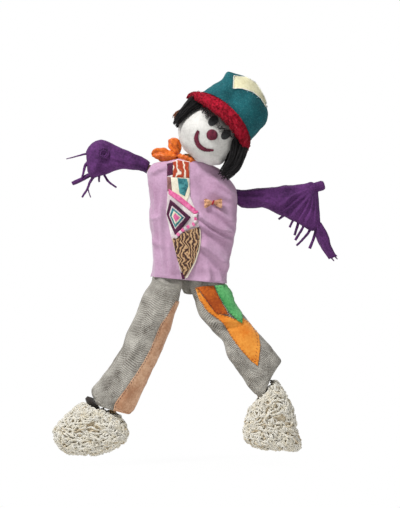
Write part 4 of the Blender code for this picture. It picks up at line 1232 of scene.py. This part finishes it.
FOLDS_RIGHT = ((((0.352, -0.040), (0.300, -0.058), (0.258, -0.088)), 0.008, 0.008, 0.004),
               (((0.354, -0.046), (0.308, -0.076), (0.268, -0.108)), 0.005, 0.005, 0.004),
               (((0.357, -0.050), (0.326, -0.086), (0.292, -0.124)), 0.006, 0.0075, 0.004),
               (((0.360, -0.052), (0.340, -0.096), (0.314, -0.136)), 0.005, 0.0055, 0.004),
               (((0.364, -0.054), (0.354, -0.104), (0.336, -0.148)), 0.005, 0.005, 0.004),
               (((0.370, -0.054), (0.370, -0.104), (0.366, -0.150)), 0.006, 0.005, 0.004),
               (((0.130, -0.060), (0.190, -0.066), (0.252, -0.086)), 0.009, 0.0075, 0.005),
               (((0.200, -0.062), (0.232, -0.060), (0.258, -0.080)), 0.008, 0.003, 0.005),
               (((0.128, -0.080), (0.170, -0.084), (0.210, -0.086)), 0.006, 0.003),
               (((0.130, -0.048), (0.220, -0.044), (0.340, -0.030)), 0.007, 0.0055, 0.005))


def sleeve_folds(lines):
    def folds(point, u, v, front):
        tight = 0.0012 * sin(2 * pi * 12 * u) * (1 - min(1, v * 6))
        ragged = 0.003 * sin(2 * pi * 9 * u + 1) * max(0, (v - 0.9) / 0.1)
        return (fold_height(point.x, point.z, lines) * (0.25 + 0.75 * min(1, 2 * front)) + tight + ragged
                + ripple(point, 0.030, 0.0024, 5.0) + ripple(point, 0.010, 0.0008, 1.0))
    return folds


EDGE_CURL = 0.6     # how far a torn edge rolls in, as a share of the ribbon's half width


def ribbon(name, path, width, tip, forward, seed):
    """A torn strip of jersey whose long edges roll in; it can swing forwards as it falls."""
    rows = [(x, ARM_Y - forward * i / (len(path) - 1) + 0.002 * sin(3 * i + seed), z)
            for i, (x, z) in enumerate(path)]
    widths = [width + (tip - width) * i / (len(path) - 1) for i in range(len(path))]

    def place(u, v):
        x, y, z, w = smooth([(*row, w) for row, w in zip(rows, widths)], v)
        ahead, behind = smooth(rows, min(1, v + 0.03)), smooth(rows, max(0, v - 0.03))
        way = Vector([ahead[k] - behind[k] for k in range(3)]).normalized()
        across = way.cross(Vector((0, 1, 0))).normalized()
        front = across.cross(way).normalized()
        turn = 0.5 * sin(2.2 * v + seed)
        across, front = across * cos(turn) + front * sin(turn), front * cos(turn) - across * sin(turn)
        a = 2 * pi * u
        bow = EDGE_CURL * w * 0.5 * cos(a) ** 2
        return (Vector((x, y, z)) + across * (w / 2 * cos(a)) + front * (0.0014 * sin(a) + bow),
                (across * cos(a) + front * sin(a)), 1)

    def folds(point, u, v, front):
        return ripple(point, 0.006, 0.0007, seed)
    return rolled(name, place, 20, 34, JERSEY, folds, size=(2 * width, 0.08), caps=True)


RIBBONS_LEFT = (
    (((-0.316, 0.070), (-0.335, 0.066), (-0.352, 0.062), (-0.381, 0.0545)), 0.007, 0.003, 0.0),
    (((-0.314, 0.046), (-0.326, 0.034), (-0.331, 0.012), (-0.335, -0.004)), 0.013, 0.005, 0.004),
    (((-0.296, 0.016), (-0.318, 0.004), (-0.340, -0.010), (-0.3636, -0.0215)), 0.015, 0.013, 0.0),
    (((-0.296, 0.004), (-0.309, -0.016), (-0.317, -0.036), (-0.3336, -0.062)), 0.010, 0.006, 0.006),
    (((-0.316, -0.034), (-0.313, -0.048), (-0.308, -0.062)), 0.004, 0.003, 0.006),
    (((-0.283, 0.004), (-0.284, -0.008), (-0.282, -0.015)), 0.008, 0.005, 0.004),
    (((-0.270, 0.010), (-0.259, -0.008), (-0.246, -0.020), (-0.230, -0.031)), 0.008, 0.006, 0.0))
RIBBONS_RIGHT = (
    (((0.296, -0.098), (0.276, -0.114), (0.257, -0.127)), 0.009, 0.007, 0.0),
    (((0.312, -0.104), (0.300, -0.130), (0.290, -0.1516)), 0.009, 0.007, 0.003),
    (((0.328, -0.112), (0.317, -0.140), (0.307, -0.176)), 0.010, 0.008, -0.003),
    (((0.346, -0.118), (0.332, -0.152), (0.308, -0.191)), 0.010, 0.008, 0.005),
    (((0.362, -0.128), (0.348, -0.166), (0.311, -0.2065)), 0.010, 0.007, 0.002),
    (((0.374, -0.130), (0.366, -0.172), (0.351, -0.2155)), 0.011, 0.009, -0.002),
    (((0.424, -0.232), (0.430, -0.242), (0.435, -0.247)), 0.006, 0.003, 0.0),
    (((0.414, -0.238), (0.421, -0.248), (0.4245, -0.253)), 0.006, 0.003, 0.002))


def make_sleeve(side, stations, lines, ribbons):
    torn = [ribbon(f"ribbon_{side}_{i}", path, width, tip, forward, seed=i * 1.7)
            for i, (path, width, tip, forward) in enumerate(ribbons, 1)]
    sleeve = rolled(f"sleeve_{side}_jersey", roll(stations, boxy=2.1), 120, 110, JERSEY, sleeve_folds(lines),
                    size=(0.21, 0.24))
    walled(sleeve, JERSEY_THICK)
    sleeve.data.shade_smooth()
    on(sleeve, f"arm_{side}", "sleeve", f"sleeve_{side}")
    for i, piece in enumerate(torn, 1):
        on(piece, f"arm_{side}", "sleeve", *([f"fringe_{side}_{i}"] if i < 4 else []))
    return sleeve


sleeve_left = make_sleeve("left", SLEEVE_LEFT, FOLDS_LEFT, RIBBONS_LEFT)
make_sleeve("right", SLEEVE_RIGHT, FOLDS_RIGHT, RIBBONS_RIGHT)

# %% Hands: knot, pole cap and finger
def ring_rows(path, radii, lean):
    """Stations square to a short straight run, for a small round piece."""
    across = Vector(lean).normalized()
    return [(x - across.x * r, z - across.y * r, x + across.x * r, z + across.y * r, r, ARM_Y)
            for (x, z), r in zip(path, radii)]


def make_hands():
    spiral = []
    for i in range(34):
        a = 0.6 + 0.42 * i
        reach = 0.0035 + 0.00035 * i
        spot, normal = dropped(left_tree, -0.267 + reach * cos(a), 0.068 + reach * sin(a),
                               0.0008 + 0.0001 * i)
        spiral.append(spot)
    on(twisted("hand_knot", spiral, [0.0036 - 0.0022 * (i / 33) ** 3 for i in range(34)], JERSEY, 14, 150,
               pleats=3, deep=0.0006, size=(0.03, 0.2)), "arm_left", "sleeve")
    knob = ring_rows(((0.360, -0.0338), (0.364, -0.0328), (0.371, -0.0308), (0.382, -0.0276),
                      (0.390, -0.0252), (0.3950, -0.0238), (0.3962, -0.0234)),
                     (0.0132, 0.0140, 0.0146, 0.0148, 0.0142, 0.0105, 0.0015), (-0.28, 0.96))

    def gathers(point, u, v, front):
        return 0.0010 * sin(2 * pi * 14 * u) * max(0, 1 - v * 2.2) + ripple(point, 0.009, 0.0008, 3.0)
    cap = rolled("pole_end_cap", roll(knob), 84, 48, JERSEY, gathers, size=(0.09, 0.04))
    walled(cap, JERSEY_THICK)
    cap.data.shade_smooth()
    on(cap, "arm_right", "sleeve", "pole_cap")
    finger = ((0.366, -0.146, 0.386, -0.136, 0.007, ARM_Y), (0.3675, -0.165, 0.399, -0.158, 0.011, ARM_Y),
              (0.373, -0.186, 0.4095, -0.180, 0.013, ARM_Y), (0.387, -0.213, 0.4145, -0.205, 0.012, ARM_Y),
              (0.401, -0.235, 0.4245, -0.226, 0.010, ARM_Y), (0.411, -0.247, 0.4325, -0.239, 0.006, ARM_Y))

    def pleats(point, u, v, front):
        return 0.0017 * sin(2 * pi * 5 * u + 2 * v) + 0.002 * sin(2 * pi * 7 * u) * max(0, v - 0.85) / 0.15 \
            + ripple(point, 0.014, 0.0010, 2.0)
    tube = rolled("sleeve_finger_tube", roll(finger), 84, 64, JERSEY, pleats, size=(0.09, 0.11))
    walled(tube, 0.0012)
    tube.data.shade_smooth()
    on(tube, "arm_right", "sleeve", "sleeve_finger")


left_tree = tree_of(sleeve_left)
make_hands()

# %% [markdown]
# The trousers are a heavy grey and taupe herringbone tweed. The left leg has a peach panel let in
# down its inner side, and the right knee carries three raw-edged patches, sewn on by hand.

# %% Trousers
TWEED = cloth("herringbone_tweed", tone(88, 80, 72), tone(206, 202, 192), threads=230, weave=HERRINGBONE,
              bump=0.8, depth=0.0014, contrast=(0.28, 0.70), speck=330, cloud=26, mark=0.22, sheen=0.05,
              extra=flecks(tone(232, 230, 222), 0.6))
HIP_Y, LEG_Y = -0.0656, -0.056


def leg_rows(rows):
    return [(lx, lz, rx, rz, deep, HIP_Y + (LEG_Y - HIP_Y) * t) for lx, lz, rx, rz, deep, t in rows]


TROUSER_LEFT = leg_rows((
    (-0.108, -0.272, -0.048, -0.272, 0.022, 0), (-0.120, -0.294, -0.036, -0.296, 0.027, 0),
    (-0.127, -0.320, -0.031, -0.322, 0.030, 0.1), (-0.150, -0.354, -0.045, -0.374, 0.034, 0.4),
    (-0.1725, -0.412, -0.064, -0.438, 0.041, 0.9), (-0.195, -0.463, -0.082, -0.484, 0.042, 1),
    (-0.2145, -0.511, -0.100, -0.532, 0.043, 1), (-0.2465, -0.563, -0.133, -0.600, 0.044, 1),
    (-0.276, -0.603, -0.158, -0.650, 0.045, 1), (-0.303, -0.640, -0.181, -0.700, 0.045, 1),
    (-0.290, -0.684, -0.192, -0.712, 0.041, 1)))
TROUSER_RIGHT = leg_rows((
    (0.016, -0.272, 0.066, -0.272, 0.020, 0), (-0.004, -0.294, 0.080, -0.290, 0.026, 0),
    (-0.011, -0.322, 0.094, -0.318, 0.030, 0.1), (0.002, -0.368, 0.114, -0.348, 0.034, 0.4),
    (0.019, -0.414, 0.129, -0.388, 0.041, 0.9), (0.056, -0.460, 0.157, -0.420, 0.043, 1),
    (0.088, -0.492, 0.184, -0.456, 0.044, 1), (0.103, -0.536, 0.214, -0.488, 0.045, 1),
    (0.122, -0.568, 0.240, -0.518, 0.045, 1), (0.146, -0.598, 0.263, -0.551, 0.044, 1),
    (0.176, -0.640, 0.254, -0.572, 0.041, 1), (0.206, -0.664, 0.238, -0.594, 0.034, 1)))
FOLDS_TROUSER_LEFT = (
    (((-0.118, -0.330), (-0.112, -0.400), (-0.130, -0.460)), 0.012, 0.005, 0.006),
    (((-0.140, -0.420), (-0.166, -0.500), (-0.205, -0.570)), 0.012, 0.005, 0.006),
    (((-0.070, -0.350), (-0.088, -0.430), (-0.110, -0.500)), 0.010, -0.004),
    (((-0.190, -0.500), (-0.160, -0.540), (-0.135, -0.580)), 0.010, 0.004, 0.005),
    (((-0.220, -0.560), (-0.235, -0.610), (-0.250, -0.665)), 0.012, 0.005, 0.006),
    (((-0.105, -0.310), (-0.080, -0.322), (-0.045, -0.322)), 0.008, 0.004, 0.004),
    (((-0.195, -0.600), (-0.200, -0.650), (-0.215, -0.690)), 0.010, 0.004))
FOLDS_TROUSER_RIGHT = (
    (((0.040, -0.438), (0.085, -0.436), (0.120, -0.430)), 0.007, 0.006, 0.005),
    (((0.070, -0.458), (0.110, -0.452), (0.150, -0.446)), 0.006, -0.005),
    (((0.022, -0.340), (0.040, -0.390), (0.066, -0.430)), 0.010, 0.005, 0.006),
    (((0.100, -0.540), (0.150, -0.556), (0.200, -0.575)), 0.008, 0.004, 0.005),
    (((0.120, -0.500), (0.160, -0.560), (0.200, -0.620)), 0.012, 0.005, 0.006),
    (((0.190, -0.510), (0.215, -0.550), (0.232, -0.585)), 0.010, 0.004),
    (((0.160, -0.600), (0.190, -0.600), (0.226, -0.590)), 0.007, 0.004, 0.004))


def trouser_folds(lines):
    def folds(point, u, v, front):
        gathers = 0.0016 * sin(2 * pi * 10 * u + 0.5) * max(0, 1 - v * 4)
        hem = 0.0012 if v > 0.958 else (-0.0008 if v > 0.945 else 0)
        flare = 0.002 * sin(2 * pi * 5 * u) * max(0, v - 0.85) / 0.15
        return (fold_height(point.x, point.z, lines) * (0.2 + 0.8 * min(1, 2 * front)) + gathers + hem + flare
                + ripple(point, 0.045, 0.0035, 6.0) + ripple(point, 0.015, 0.0010, 4.0))
    return folds


def make_trouser(side, rows, lines, length):
    leg = rolled(f"trouser_{side}_tweed", roll(rows, boxy=2.25), 150, 150, TWEED, trouser_folds(lines),
                 size=(0.30, length))
    walled(leg, TWEED_THICK)
    leg.data.shade_smooth()
    return on(leg, f"leg_{side}", "tweed", f"trouser_{side}")


trouser_left = make_trouser("left", TROUSER_LEFT, FOLDS_TROUSER_LEFT, 0.43)
trouser_right = make_trouser("right", TROUSER_RIGHT, FOLDS_TROUSER_RIGHT, 0.40)
right_leg_tree = tree_of(trouser_right)

# %% Seat of the trousers
def seat_shape(u, v):
    wide = 0.034 * (1 - 0.45 * v ** 2)
    y = -0.0372 - 0.0020 * (1 - (2 * u - 1) ** 2)
    z = -0.292 - 0.058 * v - 0.004 * (1 - (2 * u - 1) ** 2) * v
    return Vector((-0.009 + wide * (2 * u - 1), y, z)), FACING, 1.0


def seat_folds(point, u, v, front):
    return ripple(point, 0.015, 0.0008, 2.0)


seat = rolled("trouser_seat", seat_shape, 30, 26, TWEED, seat_folds, size=(0.068, 0.06), weld=False)
walled(seat, COTTON_THICK)
on(seat, "frame", "tweed")

# %% Panel and patches
PEACH = cloth("peach_panel", tone(186, 134, 100), tone(232, 190, 156), threads=900, bump=0.35, cloud=16)
RUST = cloth("rust_cotton", tone(160, 66, 10), tone(222, 116, 30), threads=800, bump=0.35)
ORANGE = cloth("orange_cotton", tone(232, 128, 30), tone(255, 172, 70), threads=800, bump=0.35)
GREEN = cloth("green_cotton", tone(50, 146, 72), tone(116, 206, 128), threads=800, bump=0.35)
RUST_THREAD = cloth("rust_thread", tone(120, 44, 10), tone(170, 76, 24), uv=False, threads=400)
GREEN_THREAD = cloth("green_thread", tone(24, 92, 44), tone(60, 140, 80), uv=False, threads=400)
PATCHES = (
    ("orange", ORANGE, ((0.0063, -0.332), (0.0192, -0.342), (0.042, -0.376), (0.068, -0.408),
                        (0.1038, -0.418), (0.125, -0.426), (0.1500, -0.424), (0.184, -0.450),
                        (0.197, -0.476), (0.201, -0.507), (0.194, -0.566), (0.172, -0.550), (0.146, -0.521),
                        (0.117, -0.482), (0.090, -0.438), (0.045, -0.4036), (0.0192, -0.368)),
     0.0010, RUST_THREAD),
    ("rust", RUST, ((0.010, -0.3315), (0.032, -0.329), (0.0615, -0.327), (0.083, -0.372), (0.1056, -0.414),
                    (0.086, -0.4115), (0.068, -0.409), (0.044, -0.376), (0.0222, -0.3430)),
     0.0024, RUST_THREAD),
    ("green", GREEN, ((0.0632, -0.327), (0.0973, -0.325), (0.1140, -0.346), (0.1225, -0.3776),
                      (0.1400, -0.4010), (0.1470, -0.4180), (0.1455, -0.4394), (0.1331, -0.433),
                      (0.1038, -0.4036), (0.081, -0.3646)),
     0.0040, GREEN_THREAD))


def make_leg_trims():
    legs = roll(TROUSER_LEFT, boxy=2.25)
    bends = trouser_folds(FOLDS_TROUSER_LEFT)

    def spot(u, v):
        """The panel's cut edge curves across the leg, and its other edge is behind the leg."""
        v = 0.30 + 0.698 * v
        seam = 0.50 - 0.42 * max(0, (v - 0.45) / 0.55) ** 1.3 + 0.35 * max(0, 0.42 - v) / 0.12
        first = pi + asin(min(1, seam) ** 1.125)
        turn = (first + (2 * pi * 0.82 - first) * u) / (2 * pi)
        point, out, front = legs(turn, v)
        return point + out * (bends(point, turn, v, front) + 0.0030), out, front
    panel = rolled("peach_leg_panel", spot, 44, 110, PEACH, size=(0.10, 0.33), weld=False)
    walled(panel, 0.0012)
    on(panel, "leg_left", "panel", "trouser_panel")
    seam = [(p.x, p.z) for p in (spot(0.03, v / 16)[0] for v in range(17))]
    on(stitches("panel_seam", seam, tree_of(panel, trouser_left), DARK_THREAD, length=0.006, gap=0.0035,
                thick=0.0007, lift=0.0006), "leg_left", "panel")
    for name, mat, outline, lift, thread in PATCHES:
        patch = laid(f"knee_patch_{name}", outline, right_leg_tree, mat, lift=lift, thick=0.0013,
                     cell=0.005, fray=0.0016)
        on(patch, "leg_right", f"patch_{name}", f"patch_{name}")
        on(stitches(f"knee_stitches_{name}", inset(outline, 0.90), right_leg_tree, thread, length=0.005,
                    gap=0.005, thick=0.0007, lift=lift + 0.0018, slant=0.9), "leg_right", f"patch_{name}")


make_leg_trims()

# %% [markdown]
# The feet are cotton mop heads. A lumpy core hides the stick's end, and hundreds of loops of thick
# yarn are sewn all over it, falling down and outwards.

# %% Mops
YARN = cloth("mop_yarn", tone(238, 226, 196), tone(255, 251, 240), uv=False, threads=600, bump=0.7,
             depth=0.0012, contrast=(0.30, 0.55), cloud=60, speck=500, sheen=0.2)
# A darker copy of the yarn, as painted shade: it colours the core seen in the gaps between loops, and every
# fourteenth loop.
YARN_PAINTED_SHADE = cloth("mop_yarn_painted_shade", tone(178, 156, 122), tone(238, 226, 200), uv=False, threads=600,
                   bump=0.7, contrast=(0.30, 0.62), cloud=60, speck=500)
MOP_LEFT = [(*row, LEG_Y) for row in (
    (-0.314, -0.688, -0.240, -0.722, 0.026), (-0.342, -0.692, -0.222, -0.726, 0.036),
    (-0.372, -0.716, -0.204, -0.756, 0.046), (-0.408, -0.756, -0.204, -0.784, 0.050),
    (-0.412, -0.786, -0.224, -0.802, 0.049), (-0.392, -0.812, -0.256, -0.818, 0.044),
    (-0.368, -0.826, -0.292, -0.827, 0.020))]
MOP_RIGHT = [(*row, LEG_Y) for row in (
    (0.214, -0.664, 0.242, -0.612, 0.024), (0.196, -0.680, 0.258, -0.630, 0.034),
    (0.172, -0.706, 0.280, -0.668, 0.045), (0.158, -0.748, 0.300, -0.716, 0.050),
    (0.158, -0.780, 0.306, -0.762, 0.051), (0.178, -0.800, 0.318, -0.804, 0.046),
    (0.212, -0.810, 0.312, -0.816, 0.022))]


MOP_LOOPS, SHADED_EVERY, LOOP_STEPS = 1250, 14, 8
YARN_RADIUS, SHADED_RADIUS = 0.0029, 0.0021
LOOP_REACH, LOOP_LIFT = (0.010, 0.026), (0.002, 0.010)


def make_mop(side, rows, seed):
    """A lumpy core with loops of yarn that start all over it and fall downwards. The core and every
    fourteenth loop take a darker yarn colour, which is painted shade for the gaps between the loops.
    """
    shape = roll(rows, boxy=2.2)
    rng = random.Random(seed)

    def lumps(point, u, v, front):
        return -0.003 + 0.0028 * noise.noise(point / 0.011) + ripple(point, 0.03, 0.003, seed)
    # The core takes the darker yarn, painted shade for the gaps between the loops.
    core = rolled(f"mop_{side}_core", shape, 90, 60, YARN_PAINTED_SHADE, lumps, size=(0.4, 0.16), caps=True)
    on(core, f"leg_{side}", "mop_yarn", f"mop_{side}")
    body = tree_of(core)
    pale, shaded = [], []
    for i in range(MOP_LOOPS):
        u, v = rng.random(), rng.uniform(0.02, 0.97)
        start = shape(u, v)[0]
        turn = rng.uniform(-1.5, 1.5)
        reach = rng.uniform(*LOOP_REACH)
        along_to = min(0.995, v + reach / 0.16 * cos(turn) * 0.8)
        end = shape((u + 0.10 * sin(turn) * rng.uniform(0.3, 1)) % 1, along_to)[0]
        lift = rng.uniform(*LOOP_LIFT)
        wiggle = Vector((rng.uniform(-1, 1), rng.uniform(-1, 1), rng.uniform(-1, 1))) * 0.005
        loop = []
        for k in range(LOOP_STEPS + 1):
            t = k / LOOP_STEPS
            spot = start.lerp(end, t) + wiggle * sin(2 * pi * t)
            near, normal = body.find_nearest(spot)[:2]
            loop.append(near + normal * (0.0004 + lift * sin(pi * t) ** 0.7) + (spot - near) * 0.35)
        (shaded if i % SHADED_EVERY == 0 else pale).append(loop)
    on(strands(f"mop_{side}_loops", pale, YARN_RADIUS, YARN, taper=0.1), f"leg_{side}", "mop_yarn")
    # The loops named under are the thinner, darker ones, in painted shade.
    on(strands(f"mop_{side}_under", shaded, SHADED_RADIUS, YARN_PAINTED_SHADE, taper=0.1), f"leg_{side}", "mop_yarn")


make_mop("left", MOP_LEFT, 3)
make_mop("right", MOP_RIGHT, 5)

# %% Ankle band
BLACK_BAND = cloth("black_band", tone(16, 13, 12), tone(58, 50, 46), uv=False, threads=500, bump=0.6,
                   cloud=50)
band_y = LEG_Y
strap = twisted("ankle_strap", ((-0.321, band_y, -0.663), (-0.311, band_y, -0.672), (-0.301, band_y, -0.680),
                                (-0.292, band_y, -0.690), (-0.287, band_y, -0.6955)),
                (0.005, 0.0105, 0.0112, 0.0095, 0.004), BLACK_BAND, 48, 36, pleats=4, deep=0.0011, flat_y=1.9)
on(strap, "leg_left", "band", "ankle_band")

# %% [markdown]
# The frame keeps its own shapes. Its pine has rings and long grain that run along each piece, and
# its steel is dull zinc, mottled in colour and shine.

# %% Wood and steel
def wood(name, dark, light, along):
    """Pine whose grain runs along one direction."""
    mat = bpy.data.materials.new(name)
    mat.use_nodes = True
    tree = mat.node_tree
    shader = tree.nodes["Principled BSDF"]
    shader.inputs["Roughness"].default_value = 0.62
    place = tree.nodes.new("ShaderNodeTexCoord")
    stretch = tree.nodes.new("ShaderNodeMapping")
    turn = Vector(along).to_track_quat("Z", "Y").inverted().to_euler()
    stretch.inputs["Rotation"].default_value = turn
    squeeze = tree.nodes.new("ShaderNodeMapping")
    squeeze.inputs["Scale"].default_value = (1, 1, 0.06)
    link(tree, place.outputs["Object"], stretch.inputs["Vector"])
    link(tree, stretch.outputs[0], squeeze.inputs["Vector"])
    grain = tree.nodes.new("ShaderNodeTexNoise")
    grain.inputs["Scale"].default_value, grain.inputs["Detail"].default_value = 190, 5
    rings = tree.nodes.new("ShaderNodeTexWave")
    rings.inputs["Scale"].default_value, rings.inputs["Distortion"].default_value = 55, 6
    for texture in (grain, rings):
        link(tree, squeeze.outputs[0], texture.inputs["Vector"])
    both = maths(tree, "ADD", maths(tree, "MULTIPLY", grain.outputs["Fac"], 0.6),
                 maths(tree, "MULTIPLY", rings.outputs["Fac"], 0.4))
    ramp = tree.nodes.new("ShaderNodeValToRGB")
    ramp.color_ramp.elements[0].position, ramp.color_ramp.elements[1].position = 0.25, 0.75
    ramp.color_ramp.elements[0].color, ramp.color_ramp.elements[1].color = dark, light
    link(tree, both, ramp.inputs[0])
    link(tree, ramp.outputs[0], shader.inputs["Base Color"])
    raised = tree.nodes.new("ShaderNodeBump")
    raised.inputs["Strength"].default_value, raised.inputs["Distance"].default_value = 0.3, 0.0004
    link(tree, both, raised.inputs["Height"])
    link(tree, raised.outputs[0], shader.inputs["Normal"])
    return mat


def zinc():
    mat = bpy.data.materials.new("zinc")
    mat.use_nodes = True
    tree = mat.node_tree
    shader = tree.nodes["Principled BSDF"]
    shader.inputs["Metallic"].default_value = 1.0
    place = tree.nodes.new("ShaderNodeTexCoord")
    for scale, low, high, socket in ((240, tone(150, 152, 156), tone(206, 208, 210), "Base Color"),
                                     (90, (0.28,) * 3 + (1,), (0.55,) * 3 + (1,), "Roughness")):
        mottle = tree.nodes.new("ShaderNodeTexNoise")
        mottle.inputs["Scale"].default_value = scale
        link(tree, place.outputs["Object"], mottle.inputs["Vector"])
        ramp = tree.nodes.new("ShaderNodeValToRGB")
        ramp.color_ramp.elements[0].color, ramp.color_ramp.elements[1].color = low, high
        link(tree, mottle.outputs["Fac"], ramp.inputs[0])
        link(tree, ramp.outputs[0], shader.inputs[socket])
    return mat


ZINC = zinc()
PINE, PALE_PINE = (tone(166, 118, 66), tone(216, 172, 112)), (tone(186, 142, 88), tone(228, 192, 140))
LEG_L, LEG_R = stick_line("leg_stick_left", HIP_L), stick_line("leg_stick_right", HIP_R)
GRAINS = {"spine_batten": (PINE, (0, 0, 1)), "shoulder_bar": (PINE, SHOULDER_R - SHOULDER_L),
          "hip_bar": (PINE, (1, 0, 0)), "neck_block": (PINE, (0, 0, 1)), "neck_dowel": (PALE_PINE, UP),
          "arm_stick_left": (PALE_PINE, ARM_L), "arm_stick_right": (PALE_PINE, ARM_R),
          "leg_stick_left": (PALE_PINE, LEG_L), "leg_stick_right": (PALE_PINE, LEG_R)}
for node, (colors, along) in GRAINS.items():
    frame["nodes"][node].material_slots[0].material = wood(f"wood_{node}", *colors, along)
for node, piece in frame["nodes"].items():
    if node.startswith("hanger") or "bolt" in node or "nut" in node or "screw" in node:
        piece.material_slots[0].material = ZINC
